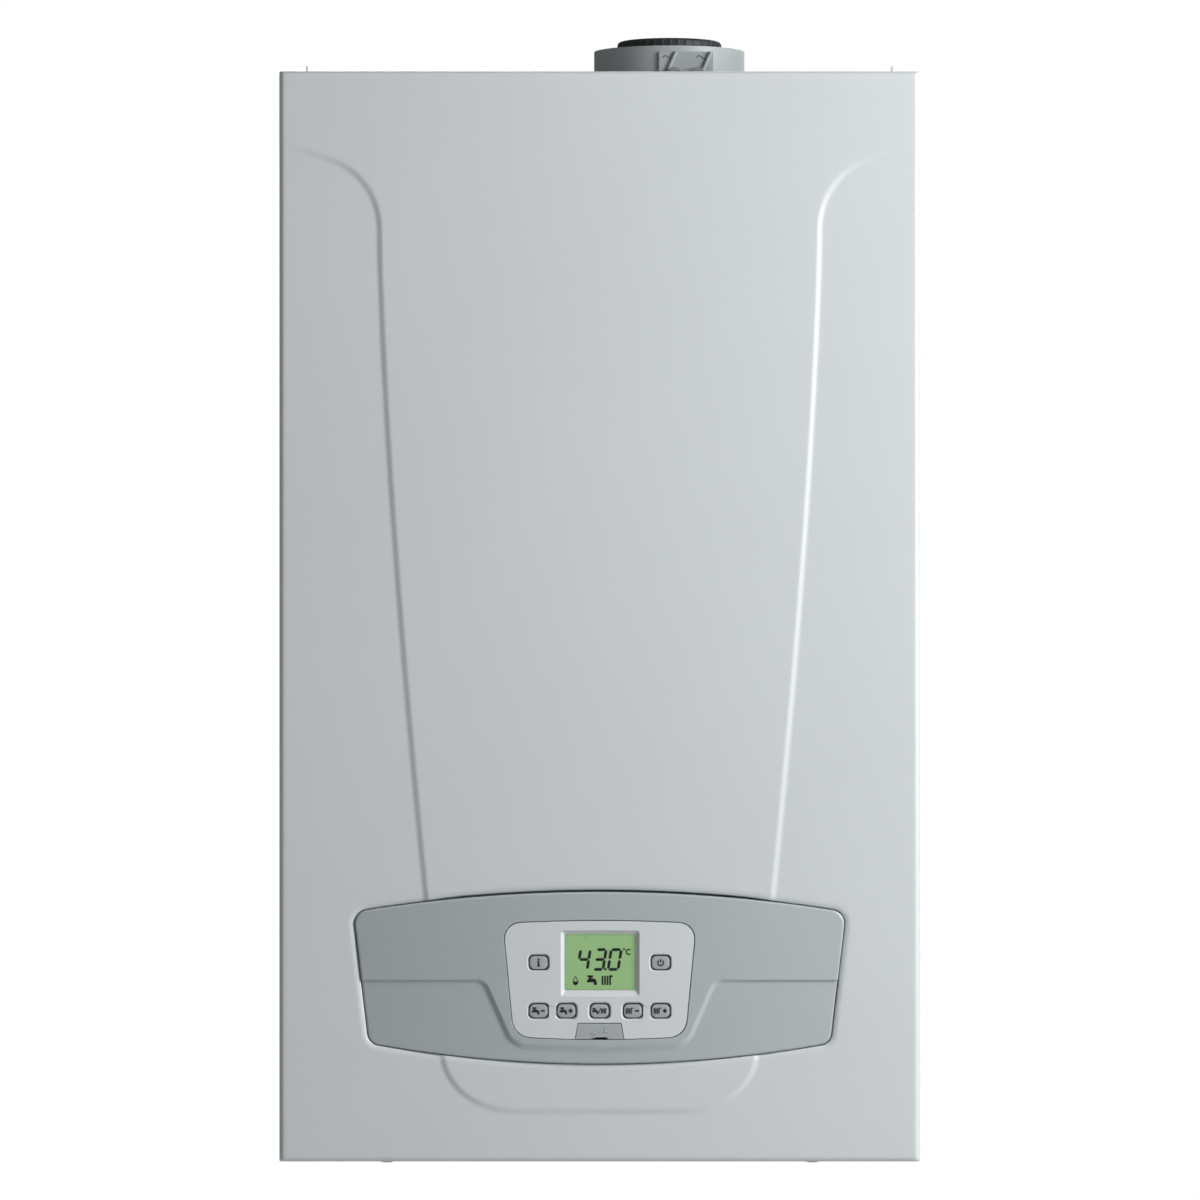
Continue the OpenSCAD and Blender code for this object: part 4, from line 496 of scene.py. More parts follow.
def panel_outline(f, grow, fine=4):
    """The source's panel outline: arched top and bottom, leaning sides and round corners."""
    def side_at(h):
        return f[4] - (f[0] - h) * math.tan(math.radians(f[5]))
    lean = math.radians(f[5])
    top_mid, low_mid = (0, f[0] - f[2]), (0, f[1] + f[3])
    tx = -(side_at(f[0] - 2 * f[6]) - f[6] / math.cos(lean))
    lx = -(side_at(f[1] + 2 * f[7]) - f[7] / math.cos(lean))
    tc = (tx, top_mid[1] + math.sqrt((f[2] - f[6]) ** 2 - tx * tx))
    lc = (lx, low_mid[1] - math.sqrt((f[3] - f[7]) ** 2 - lx * lx))
    ta = 90 + math.degrees(math.asin(-tx / (f[2] - f[6])))
    la = 270 - math.degrees(math.asin(-lx / (f[3] - f[7])))
    side = 180 + f[5]
    left = (arc(top_mid, f[2] + grow, 90, ta, 6 * fine) + arc(tc, f[6] + grow, ta, side, 5 * fine)[1:]
            + arc(lc, f[7] + grow, side, la, 5 * fine) + arc(low_mid, f[3] + grow, la, 270, 6 * fine)[1:])
    return left + [(-x, h) for x, h in left[-2:0:-1]]


def casing_opening():
    """The cut-out's edge: near the fascia all round, with a wider gap where the shield meets its top."""
    near_edge = panel_outline(FASCIA, FASCIA_GAP - LIP_REACH)
    far_edge = panel_outline(FASCIA, FASCIA_GAP + TOP_GAP)
    opening = []
    for p, q in zip(near_edge, far_edge):
        t = float(eased((TOP_GAP_HALF - abs(p[0])) / TOP_GAP_BLEND)
                  * eased((p[1] - TOP_GAP_H[0]) / (TOP_GAP_H[1] - TOP_GAP_H[0])))
        opening.append((p[0] + (q[0] - p[0]) * t, p[1] + (q[1] - p[1]) * t))
    return opening


def nearest(points, line, closed=True):
    """For each point: the nearest point of a line, the distance, and the side, above 0 on the line's left."""
    a = np.array(line, float)
    b = np.roll(a, -1, axis=0)
    if not closed:
        a, b = a[:-1], b[:-1]
    best = np.full(len(points), 1e9)
    near = np.zeros((len(points), 2))
    turn = np.zeros(len(points))
    for p, q in zip(a, b):
        v = q - p
        w = points - p
        t = np.clip((w @ v) / (v @ v), 0, 1)
        c = p + t[:, None] * v
        d = np.hypot(*(points - c).T)
        closer = d < best - 1e-9
        best[closer] = d[closer]
        near[closer] = c[closer]
        turn[closer] = (v[0] * w[:, 1] - v[1] * w[:, 0])[closer]
    return near, best, turn


def shield_line(off):
    """Right half of the shield's edge, from its foot in the middle up to the casing's side."""
    foot = [(0.0, SHIELD_FOOT_H - off)]
    for a in map(math.radians, range(-90, 0, 3)):
        foot.append((SHIELD_FOOT_W - FOOT_W + (FOOT_W + off) * math.cos(a),
                     FOOT_H + (FOOT_H - SHIELD_FOOT_H + off) * math.sin(a)))
    side = [(SHIELD_FOOT_W + (SHIELD_TOP_W - SHIELD_FOOT_W) * (1 - (1 - t) ** SIDE_POWER) + off,
             FOOT_H + (SHOULDER_H - FOOT_H) * t) for t in np.linspace(0, 1, 50)]
    r = SHOULDER_R - off
    turn = [(SHIELD_TOP_W + SHOULDER_R - r * math.cos(a), SHOULDER_H + r * math.sin(a))
            for a in map(math.radians, range(3, int(SHOULDER_TURN) + 1, 3))]
    way = math.radians(SHOULDER_TURN)
    end = (turn[-1][0] + END_RUN * math.sin(way), turn[-1][1] + END_RUN * math.cos(way))
    return foot + side + turn + [end]


def casing_level(x, h):
    """The casing's front level in d, without its rounded edges."""
    side = SIDE_FACE + EMBOSS * eased((h - FADE[0]) / (FADE[1] - FADE[0]))
    line = shield_line(RAMP / 2)
    _, dist, turn = nearest(np.stack([np.abs(x), h], axis=1), line, closed=False)
    inside = np.where(turn > 0, dist, -dist)
    return side + (SHIELD_FACE - side) * eased((inside + RAMP / 2) / RAMP)


def strips(*spans):
    """Values from a chain of (start, end, step) spans."""
    out = []
    for a, b, step in spans:
        n = max(1, round((b - a) / step))
        out += [a + (b - a) * i / n for i in range(n)]
    return out + [spans[-1][1]]


def casing_net():
    """The sheet's grid: each column's x or row's h, how far it bends back, and its d on a folded return."""
    edge = HALF_W - EDGE_R
    half = strips((0, 82, 4), (82, 158, 0.9), (158, HOOK_CUT[0], 1.5), (*HOOK_CUT, 1.2),
                  (HOOK_CUT[1], edge, 1.9))
    xs = [(-x, 0.0, None) for x in half[:0:-1]] + [(x, 0.0, None) for x in half]
    rows = strips((EDGE_R, 28, 3), (28, 70, 1.2), (70, 190, 2), (190, 645, 5), (645, 725, 1.3),
                  (725, BODY_H - EDGE_R, 4))
    hs = [(h, 0.0, None) for h in rows]
    bend = [(math.sin(a), 1 - math.cos(a)) for a in map(math.radians, (12, 24, 36, 48, 60, 72, 81, 90))]
    backs = [CASING_BACK + HOOK_DEPTH, CASING_BACK]
    right = [(edge + EDGE_R * s, EDGE_R * c, None) for s, c in bend] + [(HALF_W, 0, d) for d in backs]
    xs = [(-x, c, d) for x, c, d in reversed(right)] + xs + right
    top = [(BODY_H - EDGE_R + EDGE_R * s, EDGE_R * c, None) for s, c in bend]
    top += [(BODY_H, 0, d) for d in backs]
    low = [(BODY_H - h, c, d) for h, c, d in reversed(top)]
    return xs, low + hs + top, backs


def casing_faces(xs, hs, backs, outline):
    """The net's points and faces, without its corners, the hooks' cuts and the room for the cut-out's lip."""
    n = len(xs)
    edge = HALF_W - EDGE_R
    grid_x = np.array([[min(max(x[0], -edge), edge) for x in xs] for h in hs])
    grid_h = np.array([[min(max(h[0], EDGE_R), BODY_H - EDGE_R) for x in xs] for h in hs])
    level = casing_level(grid_x.ravel(), grid_h.ravel())
    points, plain = [], []
    for i, h in enumerate(hs):
        for j, x in enumerate(xs):
            flat = level[i * n + j] - x[1] - h[1]
            points.append([x[0], x[2] if x[2] else h[2] if h[2] else flat, h[0]])
            plain.append(not (x[2] or h[2]))
    points = np.array(points)
    centre = np.array([(points[i * n + j] + points[(i + 1) * n + j + 1]) / 2 for i in range(len(hs) - 1)
                       for j in range(n - 1)])
    _, dist, turn = nearest(centre[:, [0, 2]], outline)
    hook_mid = sum(HOOK_CUT) / 2
    faces = []
    k = -1
    for i in range(len(hs) - 1):
        for j in range(n - 1):
            k += 1
            folded_x, folded_h = xs[j][2] or xs[j + 1][2], hs[i][2] or hs[i + 1][2]
            if folded_x and folded_h:
                continue
            if not folded_x and not folded_h and (turn[k] > 0 or dist[k] < LIP_ROOM):
                continue
            if hs[i][2] == backs[0] and hs[i + 1][2] == backs[1] and abs(abs(centre[k][0]) - hook_mid) < 1.0:
                continue
            faces.append((i * n + j, i * n + j + 1, (i + 1) * n + j + 1, (i + 1) * n + j))
    return points, plain, faces


def cut_loop(points, plain, faces):
    """The net's open edge round the cut-out, as a loop of points."""
    count = {}
    for f in faces:
        for a, b in zip(f, f[1:] + f[:1]):
            count[(a, b)] = count.get((a, b), 0) + 1
    follow = {}
    for (a, b) in count:
        if (b, a) not in count and abs(points[a][0]) < 200 and 40 < points[a][2] < 215 and plain[a]:
            follow[b] = a
    loop = [next(iter(follow))]
    while follow[loop[-1]] != loop[0]:
        loop.append(follow[loop[-1]])
    return loop


def front_casing():
    outline = casing_opening()
    points, plain, faces = casing_faces(*casing_net(), outline)
    # The net's edge is laid beside the cut-out, and the lip runs from it in rings
    loop = cut_loop(points, plain, faces)
    rim = points[loop][:, [0, 2]]
    near, dist, _ = nearest(rim, outline)
    way = (rim - near) / dist[:, None]
    for v, q, w in zip(loop, near, way):
        points[v][0], points[v][2] = q + LIP_ROOM * w
    points[loop, 1] = casing_level(points[loop][:, 0], points[loop][:, 2])
    lean = math.radians(LIP_LEAN)
    steps = [(g, 0) for g in (7.5, 6)]
    steps += [(g, LIP_DIP * (1 - (g - ROLL) / (LIP_W - ROLL)) ** 2)
              for g in (LIP_W, 3.9, 3.2, 2.5, 1.8, ROLL)]
    steps += [(ROLL * (1 - (math.sin(a) - math.sin(lean)) / (1 - math.sin(lean))),
               LIP_DIP + ROLL / (1 - math.sin(lean)) * (math.cos(lean) - math.cos(a)))
              for a in map(math.radians, (32, 42, 52, 64, 77, 90))]
    rings = [loop]
    new = [tuple(p) for p in points]
    for g, dip in steps + [(0, None)]:
        at_rim = near + way * g
        level = casing_level(at_rim[:, 0], at_rim[:, 1])
        ring = []
        for q, z in zip(at_rim, level):
            ring.append(len(new))
            new.append((q[0], LIP_BACK if dip is None else z - dip, q[1]))
        rings.append(ring)
    for a, b in zip(rings, rings[1:]):
        for i in range(len(a)):
            j = (i + 1) % len(a)
            faces.append((a[i], a[j], b[j], b[i]))
    o = mesh_object("casing_skin", new, faces)
    bm = bmesh.new()
    bm.from_mesh(o.data)
    bmesh.ops.delete(bm, geom=[v for v in bm.verts if not v.link_faces], context="VERTS")
    bmesh.ops.remove_doubles(bm, verts=bm.verts, dist=0.00002)
    bmesh.ops.recalc_face_normals(bm, faces=bm.faces)
    front = max(bm.faces, key=lambda f: -f.calc_center_median().y)
    if front.normal.y > 0:
        bmesh.ops.reverse_faces(bm, faces=bm.faces)
    bm.to_mesh(o.data)
    bm.free()
    m = o.modifiers.new("sheet", "SOLIDIFY")
    m.thickness = CASING_T * 0.001
    paint(o, "casing")
    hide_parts("front_casing")
    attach(o, "casing")


front_casing()


# The fascia: a bowed panel with a rounded edge, a raised middle and lower cheeks
def step_width(x):
    """How wide the step's slope is: narrow along the sides, wider on the slants and along the foot."""
    return 1.1 + 1.1 * (1 - eased((x - 82) / 14)) + 1.2 * (1 - eased((x - 48) / 16))


def step_half(off):
    """The right half of the step, from the fascia's side to the middle of the foot line. off moves it across
    its slope, from -1 to 1."""
    side = [(x, STEP_H) for x in strips((178, 108, 7), (108, STEP_X, 3))]
    shoulder = arc((STEP_X, STEP_H - STEP_R), STEP_R, 90, 180 - SLANT_TURN, 10)[2:]
    foot = arc((FOOT_X, FOOT_LINE_H + FOOT_ARCH + FOOT_R), FOOT_R, 360 - SLANT_TURN, 270, 14)
    foot += [(x, FOOT_LINE_H + FOOT_ARCH * (x / FOOT_X) ** 2) for x in strips((FOOT_X - 5, 0, 5))]
    line = side + shoulder + foot
    out = []
    for i, (x, h) in enumerate(line):
        a, b = line[max(i - 1, 0)], line[min(i + 1, len(line) - 1)]
        u = Vector((b[0] - a[0], b[1] - a[1])).normalized() if i < len(line) - 1 else Vector((-1, 0))
        shift = off * float(step_width(x))
        out.append((x - u.y * shift, h + u.x * shift))
    return out


def both_halves(half):
    """A line from its right half, which ends in the middle."""
    return half + [(-x, h) for x, h in half[-2::-1]]


STEP_LINE = step_half(0.0)


def face_level(x, h):
    """The fascia's level in d, without its rounded rims."""
    _, dist, turn = nearest(np.stack([np.abs(x), h], axis=1), STEP_LINE, closed=False)
    inside = np.where(turn < 0, dist, -dist)
    width = step_width(np.abs(x))
    return FACE_D - x * x / 2 / FACE_CURVE - CHEEK_DROP * (1 - eased(inside / width / 2 + 0.5))


def flat_net(lines, extra, keep):
    """Triangles between lines in x and h. Each line is its points and whether it closes, and keep picks the
    triangles by their middles."""
    points, edges = [], []
    for line, closed in lines:
        k, n = len(points), len(line)
        points += [Vector(q) for q in line]
        edges += [(k + i, k + (i + 1) % n) for i in range(n if closed else n - 1)]
    points += [Vector(q) for q in extra]
    flat, _, faces, _, _, _ = delaunay_2d_cdt(points, edges, [], 0, 0.0001, False)
    flat = np.array([tuple(v) for v in flat])
    middle = np.array([flat[list(f)].mean(axis=0) for f in faces])
    stay = keep(middle)
    return flat, [tuple(f) for f, k in zip(faces, stay) if k]


def fascia():
    edge, hole = panel_outline(FASCIA, FACE_GROW), panel_outline(BEZEL, HOLE_GROW)
    rolls = [1 - math.sin(math.radians(a)) for a in (0, 18, 36, 52, 66, 78, 90)]
    lines = [(panel_outline(FASCIA, FACE_GROW - FACE_RIM * r), True) for r in rolls]
    lines += [(panel_outline(BEZEL, HOLE_GROW + HOLE_RIM * r), True) for r in (1, 0.5, 0.2, 0)]
    lines += [(both_halves(step_half(k)), False) for k in (-1, -0.66, -0.33, 0, 0.33, 0.66, 1)]
    grid = np.array([(x, h) for x in range(-168, 169, 8) for h in range(64, 190, 8)], float)
    _, far, turn = nearest(grid, edge)
    _, clear, out = nearest(grid, hole)
    _, off, _ = nearest(np.abs(grid), STEP_LINE, closed=False)
    grid = grid[(turn > 0) & (far > 4) & (out < 0) & (clear > 2) & (off > 4)]

    def keep(q):
        return (nearest(q, edge)[2] > 0) & (nearest(q, hole)[2] < 0)
    flat, faces = flat_net(lines, [tuple(q) for q in grid], keep)
    x, h = flat[:, 0], flat[:, 1]
    at_edge, at_hole = nearest(flat, edge)[1], nearest(flat, hole)[1]
    level = face_level(x, h)
    for rim, dist in ((FACE_RIM, at_edge), (HOLE_RIM, at_hole)):
        level = level - (rim - np.sqrt(np.maximum(rim ** 2 - np.maximum(rim - dist, 0) ** 2, 0)))
    e = 0.02
    tilt_x = (face_level(x + e, h) - face_level(x - e, h)) / (2 * e)
    tilt_h = (face_level(x, h + e) - face_level(x, h - e)) / (2 * e)
    tilt_x -= (BOW - 1) * x / FACE_CURVE
    ways = np.stack([-tilt_x, -np.ones(len(x)), -tilt_h], axis=1)
    ways /= np.linalg.norm(ways, axis=1)[:, None]
    ways[(at_edge < FACE_RIM - 0.01) | (at_hole < HOLE_RIM - 0.01)] = 0
    bm = bmesh.new()
    verts = [bm.verts.new(at(*p)) for p in zip(x, level, h)]
    for f in faces:
        bm.faces.new([verts[i] for i in f])
    bm.faces.ensure_lookup_table()
    if bm.faces[0].normal.y > 0:
        bmesh.ops.reverse_faces(bm, faces=bm.faces)
    rim = [g for g in bm.edges if g.is_boundary]
    wall = bmesh.ops.extrude_edge_only(bm, edges=rim)["geom"]
    for v in wall:
        if isinstance(v, bmesh.types.BMVert):
            v.co.y = -(BOX_FRONT - COVER_T) * 0.001
    bmesh.ops.recalc_face_normals(bm, faces=bm.faces)
    front = min(bm.faces, key=lambda f: f.calc_center_median().y)
    if front.normal.y > 0:
        bmesh.ops.reverse_faces(bm, faces=bm.faces)
    for f in bm.faces:
        f.smooth = True
    bm.verts.index_update()
    order = np.zeros((len(bm.verts), 3))
    order[:len(ways)] = ways
    stay = [v.index for v in bm.verts if v.link_faces]
    bmesh.ops.delete(bm, geom=[v for v in bm.verts if not v.link_faces], context="VERTS")
    me = bpy.data.meshes.new("fascia_skin")
    bm.to_mesh(me)
    bm.free()
    me.normals_split_custom_set_from_vertices([tuple(v) for v in order[stay]])
    o = bpy.data.objects.new("fascia_skin", me)
    scene.collection.objects.link(o)
    paint(o, "fascia")

    plate_edge = [(x, h) for x, h in zip((-BOX_W / 2, BOX_W / 2, BOX_W / 2, -BOX_W / 2), np.repeat(BOX_H, 2))]
    opening = panel_outline(FASCIA, 0.0)
    flat, faces = flat_net([(plate_edge, True), (opening, True)], [], lambda q: nearest(q, opening)[2] < 0)
    flange = mesh_object("fascia_flange", [(a, BOX_FRONT, b) for a, b in flat], faces, False)
    if flange.data.polygons[0].normal.y > 0:
        flange.data.flip_normals()
    m = flange.modifiers.new("sheet", "SOLIDIFY")
    m.thickness = COVER_T * 0.001
    soften(flange, 0.4)
    paint(flange, "fascia")
    for piece in (o, flange):
        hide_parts("fascia")
        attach(piece, "control_unit")


fascia()


# Thin printed or moulded shapes on a flat face
def plate(name, shapes, low, high, material, body):
    """Shapes are outlines in x and h; each becomes a plate between two values of d."""
    points, faces = [], []
    for shape in shapes:
        area = sum(a[0] * b[1] - b[0] * a[1] for a, b in zip(shape, shape[1:] + shape[:1]))
        ring = shape if area > 0 else shape[::-1]
        k, n = len(points), len(shape)
        points += [(x, low, h) for x, h in ring] + [(x, high, h) for x, h in ring]
        faces.append(tuple(range(k + n, k + 2 * n)))
        faces.append(tuple(range(k + n - 1, k - 1, -1)))
        faces += [(k + i, k + (i + 1) % n, k + n + (i + 1) % n, k + n + i) for i in range(n)]
    o = mesh_object(name, points, faces, False)
    paint(o, material)
    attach(o, body)


def bar(p, q, w, cut=0.0):
    """A straight stroke from p to q, with pointed ends if cut is given."""
    u = Vector((q[0] - p[0], q[1] - p[1])).normalized()
    s = Vector((-u.y, u.x)) * w / 2
    a, b = Vector(p), Vector(q)
    if cut:
        ring = (a, a + u * cut - s, b - u * cut - s, b, b - u * cut + s, a + u * cut + s)
        return [tuple(q) for q in ring]
    return [tuple(a - s), tuple(b - s), tuple(b + s), tuple(a + s)]


def ring_part(c, r, w, a0, a1, n=14):
    """A part of a ring of the width w."""
    return arc(c, r + w / 2, a0, a1, n) + arc(c, r - w / 2, a1, a0, n)


def disc(c, r, n=16):
    return arc(c, r, 0, 360, n)[:-1]


def moved(shapes, x, h, k=1.0):
    """Shapes made k times as large and moved by x and h."""
    return [[(x + k * a, h + k * b) for a, b in s] for s in shapes]


def tap():
    """A tap's outline about its middle, one unit wide."""
    return [
        bar((-0.44, 0.42), (0.16, 0.42), 0.22), bar((-0.14, 0.42), (-0.14, 0.1), 0.26),
        [(-0.54, -0.16), (-0.38, 0.14), (0.16, 0.22), (0.44, 0.1), (0.56, -0.14), (0.56, -0.5), (0.26, -0.5),
         (0.22, -0.24), (0.1, -0.2), (-0.38, -0.24)]]


def radiator(link=0.1, width=0.17):
    """A radiator's four bars with its valve, one unit wide; the bars are joined where link isn't nothing."""
    bars = [bar((-0.48 + 0.24 * i, -0.44), (-0.48 + 0.24 * i, 0.44), width) for i in range(4)]
    bars.append(bar((0.2, 0.4), (0.5, 0.4), 0.18))
    return bars + ([bar((-0.48, 0.0), (0.24, 0.0), link)] if link else [])


# Display: seven-segment figures, a degree mark and three symbols
def figure(x, h, w, tall, on, stroke=2.05, inset=0.2):
    """A seven-segment figure with the segments named lit, leaning to the right."""
    mid, top = h + tall / 2, h + tall
    runs = {
        "a": ((x, top), (x + w, top)), "b": ((x + w, top), (x + w, mid)), "c": ((x + w, mid), (x + w, h)),
        "d": ((x, h), (x + w, h)), "e": ((x, mid), (x, h)), "f": ((x, top), (x, mid)),
        "g": ((x, mid), (x + w, mid))}
    shapes = []
    for s in on:
        p, q = (Vector(v) for v in runs[s])
        u = (q - p).normalized() * inset
        shapes.append(bar(p + u, q - u, stroke, stroke / 2))
    slant = math.tan(math.radians(LCD_SLANT))
    return [[(a + (b - h) * slant, b) for a, b in s] for s in shapes]


def display_figures():
    low, tall = 135.4, 13.9
    shapes = figure(-15.4, low, 6.7, tall, "fgbc") + figure(-4.3, low, 6.7, tall, "abgcd")
    shapes += figure(6.0, low, 7.0, tall, "abcdef") + [disc((4.0, low + 0.2), 0.9)]
    shapes += [ring_part((17.2, 149.5), 0.65, 0.55, 0, 359), ring_part((20.5, 147.7), 1.75, 0.95, 50, 310)]
    half = [(0, 3.0), (0.55, 1.9), (1.2, 0.6), (1.7, -0.7), (1.5, -2.0), (0.8, -2.8)]
    drop = half + [(0, -3.0)] + [(-x, h) for x, h in half[:0:-1]]
    full = [q for q in drop if q[1] < -0.5]
    outline = [bar(p, q, 0.55) for p, q in zip(drop, drop[1:] + drop[:1])]
    shapes += moved([full] + outline, -16.9, 127.6)
    shapes += moved(tap(), -5.6, 127.8, 6.6) + moved(radiator(0.0), 5.6, 127.7, 7.4)
    plate("lcd_figures", shapes, LCD_FRONT - 0.02, LCD_FRONT + 0.05, "ink", "control_unit")


display_figures()

# Symbols printed on the keys
MINUS = [bar((-0.5, 0), (0.5, 0), 0.36)]
PLUS = MINUS + [bar((0, -0.5), (0, 0.5), 0.36)]
INFO = [disc((0.1, 2.3), 0.8, 10), bar((0, 1.1), (0, -2.4), 1.35), bar((-1.1, 0.9), (0.3, 0.9), 0.7),
        bar((-1.2, -2.4), (1.2, -2.4), 0.75)]
POWER = [ring_part((0, 0), 2.0, 1.0, 128, 412), bar((0, 0.2), (0, 2.6), 1.0)]
SYMBOLS = {
    "info": INFO, "reset": moved(POWER, 0, -0.1),
    "water_down": moved(tap(), -2.2, 0, 4.9) + moved(MINUS, 3.0, 0.1, 3.1),
    "water_up": moved(tap(), -2.2, 0, 4.9) + moved(PLUS, 3.0, 0.1, 3.1),
    "mode": (moved(tap(), -3.2, 0, 4.0) + [bar((-0.8, -2.0), (0.8, 2.0), 0.6)]
             + moved(radiator(), 3.3, 0, 4.0)),
    "heating_down": moved(radiator(), -2.2, 0, 4.6) + moved(MINUS, 3.0, 0.1, 3.1),
    "heating_up": moved(radiator(), -2.2, 0, 4.6) + moved(PLUS, 3.0, 0.1, 3.1)}


def rounded(w, h, r, n=6):
    """A rectangle's outline with round corners, anticlockwise about its middle."""
    return [q for sx, sh, a in ((1, 1, 0), (-1, 1, 90), (-1, -1, 180), (1, -1, 270))
            for q in arc((sx * (w / 2 - r), sh * (h / 2 - r)), r, a, a + 90, n)]


def push_key(key, x, h):
    """A key with a rounded edge and a slightly crowned face."""
    crown = ((0.0, 0.9), (0.08, 0.62), (0.3, 0.42), (0.95, 0.26), (1.5, 0.18), (2.4, 0.13), (3.4, 0.11))
    levels = [(0.0, KEY_BACK)] + [(inset, KEY_FRONT - drop) for inset, drop in crown]
    points, faces = [], []
    for inset, d in levels:
        ring = rounded(KEY_W - 2 * inset, KEY_H - 2 * inset, max(KEY_R - inset, 0.3))
        points += [(x + a * (1 - KEY_BARREL * (2 * b / KEY_H) ** 2 / KEY_W * 2), d, h + b) for a, b in ring]
    n = len(points) // len(levels)
    for k in range(len(levels) - 1):
        faces += [(k * n + i, k * n + (i + 1) % n, (k + 1) * n + (i + 1) % n, (k + 1) * n + i)
                  for i in range(n)]
    last = (len(levels) - 1) * n
    faces.append(tuple(range(last, last + n)))
    faces.append(tuple(range(n - 1, -1, -1)))
    flange = rounded(KEY_W + 2 * KEY_FLANGE, KEY_H + 2 * KEY_FLANGE, KEY_R)
    k = len(points)
    points += [(x + a, d, h + b) for d in (KEY_BACK, KEY_BACK + KEY_FLANGE) for a, b in flange]
    faces += [(k + i, k + (i + 1) % n, k + n + (i + 1) % n, k + n + i) for i in range(n)]
    faces += [tuple(range(k + n, k + 2 * n)), tuple(range(k + n - 1, k - 1, -1))]
    o = mesh_object("key_" + key, points, faces)
    soften(o, 0)
    paint(o, "key")
    # The shank and the rounded edge take a darker material: painted shade that draws a shadow line round the
    # key
    o.data.materials.append(M["key_outline_painted_shade"].m)
    for f in range(3 * n):
        o.data.polygons[f].material_index = 1
    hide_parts("button_" + key)
    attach(o, "button_" + key + "_key")


for key, (kx, kh) in KEYS.items():
    push_key(key, kx, kh)
    plate("symbol_" + key, moved(SYMBOLS[key], kx, kh), KEY_FRONT - 0.4, KEY_FRONT - 0.04, "print",
          "button_" + key + "_key")


# Relief: a spanner on the service cover, and lines of painted shade and ridges on the collar's pad
def face_out(o):
    """Turns a closed mesh's faces outwards."""
    bm = bmesh.new()
    bm.from_mesh(o.data)
    bmesh.ops.recalc_face_normals(bm, faces=bm.faces)
    bm.to_mesh(o.data)
    bm.free()


def swept(paths, radius, level, name, material, body):
    """Round beads along paths in x and h, with their middles at the given level."""
    points, faces, n = [], [], 10
    for path in paths:
        k = len(points)
        for i, p in enumerate(path):
            u = (Vector(path[min(i + 1, len(path) - 1)]) - Vector(path[max(i - 1, 0)])).normalized()
            for j in range(n):
                a = 2 * math.pi * j / n
                points.append((p[0] - u.y * radius * math.cos(a), level + radius * math.sin(a),
                               p[1] + u.x * radius * math.cos(a)))
        for i in range(len(path) - 1):
            a, b = k + i * n, k + (i + 1) * n
            faces += [(a + j, a + (j + 1) % n, b + (j + 1) % n, b + j) for j in range(n)]
        last = k + (len(path) - 1) * n
        faces += [tuple(range(k + n - 1, k - 1, -1)), tuple(range(last, last + n))]
    o = mesh_object(name, points, faces)
    face_out(o)
    soften(o, 0)
    paint(o, material)
    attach(o, body)


def spanner(c, length, turn):
    """Paths of an open spanner about its middle: the grip and two jaws."""
    paths = [[(-length * 0.3, 0), (0, 0), (length * 0.3, 0)]]
    jaw = arc((0, 0), length * 0.13, 50, 310, 14)
    paths += [[(s * (length * 0.42 + x), s * h) for x, h in jaw] for s in (1, -1)]
    sin, cos = math.sin(math.radians(turn)), math.cos(math.radians(turn))
    return [[(c[0] + x * cos - h * sin, c[1] + x * sin + h * cos) for x, h in p] for p in paths]


swept(spanner((0.2, 91.2), 12.5, 20), 0.8, FACE_D - 0.45, "cover_relief", "flap", "service_flap")


def flue_seal():
    """The lip seal: a rubber ring, ribbed on its outside, from its profile of radii and heights."""
    profile = [(34.3, -5.9), (38.0, -5.9), (38.0, 0.2), (38.0, 4.9), (37.75, 6.0), (37.1, 6.8), (35.9, 7.35),
               (33.4, 7.55), (31.6, 7.45), (30.9, 6.9), (30.75, 5.4), (30.7, 2.4), (30.75, 0.05), (34.2, 0.0)]
    ribs, rib_depth, n = 40, 0.45, 400
    points, faces = [], []
    for i in range(n):
        a = 2 * math.pi * i / n
        wave = max(0.0, math.cos(ribs * a)) ** 3
        for r, z in profile:
            outer = r > 34.3 and z > 0.1
            rr = r - (rib_depth * (1 - wave) if outer else 0.0)
            points.append((FLUE_X + rr * math.cos(a), FLUE_D + rr * math.sin(a), COLLAR_TOP + z))
    k = len(profile)
    for i in range(n):
        for j in range(k):
            a, b = i * k + j, i * k + (j + 1) % k
            c, d = ((i + 1) % n) * k + (j + 1) % k, ((i + 1) % n) * k + j
            faces.append((a, b, c, d))
    o = mesh_object("seal_ring", points, faces)
    face_out(o)
    paint(o, "seal")
    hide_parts("flue_seal")
    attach(o, "cabinet")


flue_seal()


def collar_marks():
    """Two thin wavy lines of painted shade, black plates standing in for the shadows of small moulded
    grooves, and two slanting ridges on the pad of the collar.
    """
    mid, top = FLUE_X + 11.5, BODY_H + 23.6
    front = FLUE_D + COLLAR_R + 1.5
    waves = []
    for x in (mid - 12.6, mid + 11.6):
        path = [(x + a, top - b) for a, b in ((-4.4, 3.4), (-2.6, 2.0), (-0.8, 2.6), (0.8, 4.2), (2.6, 4.4))]
        waves += [bar(a, b, 0.6) for a, b in zip(path, path[1:])]
    # Painted shade: black wavy plates in place of the shadows of the pad's moulded grooves
    plate("pad_painted_shade_lines", waves, front - 0.3, front + 0.1, "black", "cabinet")
    ridges = [[(x + 2.9, top + 0.3), (x - 2.8, top - 12.6)] for x in (mid - 10.2, mid + 15.0)]
    swept(ridges, 1.5, front + 0.9, "pad_ridges", "collar", "cabinet")


collar_marks()


# Studio: a pale floor far below the hung boiler, a softbox on the right, weak fills, and a white surround.
# The camera looks straight at the front from DISTANCE metres and sees VIEW_W metres of it
FLOOR_GLOW = 0.72
FLOOR_HALF = 6.0
FLOOR_Z = -1.62
ROOM_LIGHT = 0.15
DISTANCE = 4.15
VIEW_W = 0.8425
VIEW_X = 0.0003
VIEW_H = 394.6
FRONT_Y = 0.343
SENSOR = 36.0


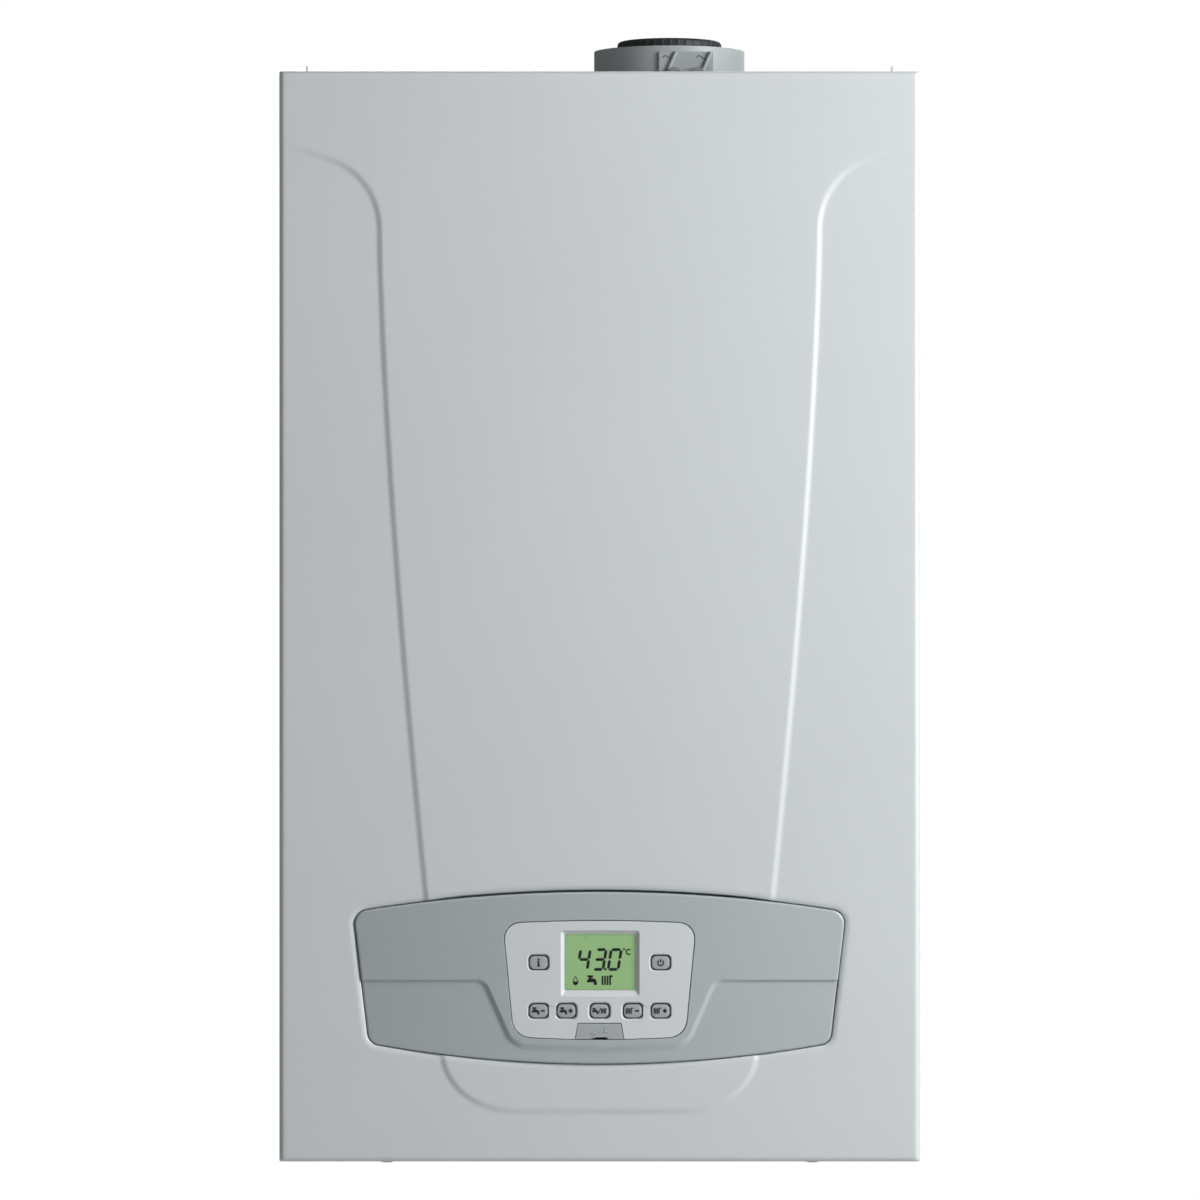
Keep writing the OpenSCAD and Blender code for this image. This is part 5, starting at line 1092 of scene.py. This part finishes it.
def lamp(name, place, target, size, power):
    """A softbox of the size in metres, aimed at a point."""
    data = bpy.data.lights.new(name, "AREA")
    data.shape = "RECTANGLE"
    data.size, data.size_y = size
    data.energy = power
    o = bpy.data.objects.new(name, data)
    o.location = place
    o.rotation_euler = (Vector(target) - Vector(place)).to_track_quat("-Z", "Y").to_euler()
    scene.collection.objects.link(o)


lamp("key_right", (1.55, -1.3, 0.25), (0.0, -0.3, -0.33), (0.8, 1.3), 52.0)
lamp("high_fill", (-0.1, -2.5, 2.5), (0.0, -0.3, -0.35), (2.4, 1.6), 9.0)
lamp("left_fill", (-2.4, -0.4, 0.2), (0.0, -0.2, -0.33), (1.2, 1.8), 2.6)
lamp("back_fill", (0.6, 2.6, 1.0), (0.0, -0.1, -0.33), (2.0, 1.6), 30.0)

world = bpy.data.worlds.new("surround")
scene.world = world
world.use_nodes = True
wt = world.node_tree
back = wt.nodes["Background"]
path = wt.nodes.new("ShaderNodeLightPath")
seen = wt.nodes.new("ShaderNodeMath")
seen.operation = "MAXIMUM"
wt.links.new(path.outputs["Is Camera Ray"], seen.inputs[0])
wt.links.new(path.outputs["Is Transmission Ray"], seen.inputs[1])
level = wt.nodes.new("ShaderNodeMapRange")
level.inputs["To Min"].default_value = ROOM_LIGHT
level.inputs["To Max"].default_value = 1.0
wt.links.new(seen.outputs["Value"], level.inputs["Value"])
wt.links.new(level.outputs["Result"], back.inputs["Strength"])
back.inputs["Color"].default_value = (1.0, 1.0, 1.0, 1.0)


def stage_floor():
    """The floor, which the camera sees nearly white."""
    r, z = FLOOR_HALF, FLOOR_Z
    me = bpy.data.meshes.new("floor")
    me.from_pydata([(-r, -r, z), (r, -r, z), (r, r, z), (-r, r, z)], [], [(0, 1, 2, 3)])
    o = bpy.data.objects.new("floor", me)
    scene.collection.objects.link(o)
    s = Shader("floor")
    s.p.inputs["Roughness"].default_value = 0.9
    fac = s.range(s.noise(1.5), 0.0, 1.0)
    s.link(s.blend(fac, (0.86, 0.86, 0.86, 1), (0.9, 0.9, 0.9, 1)), s.p.inputs["Base Color"])
    light = s.node("ShaderNodeLightPath")
    s.p.inputs["Emission Color"].default_value = (1.0, 1.0, 1.0, 1.0)
    glow = s.range(light.outputs["Is Camera Ray"], 0.0, FLOOR_GLOW, 0.0, 1.0)
    s.link(glow, s.p.inputs["Emission Strength"])
    me.materials.append(s.m)


stage_floor()

camera = bpy.data.objects.new("camera", bpy.data.cameras.new("camera"))
scene.collection.objects.link(camera)
scene.camera = camera
camera.location = (VIEW_X, -(FRONT_Y + DISTANCE), (BASE + VIEW_H) * 0.001)
camera.rotation_euler = (math.radians(90), 0, 0)
camera.data.sensor_width = SENSOR
camera.data.lens = SENSOR * DISTANCE / VIEW_W
camera.data.clip_end = 60.0

scene.view_settings.view_transform = "Standard"
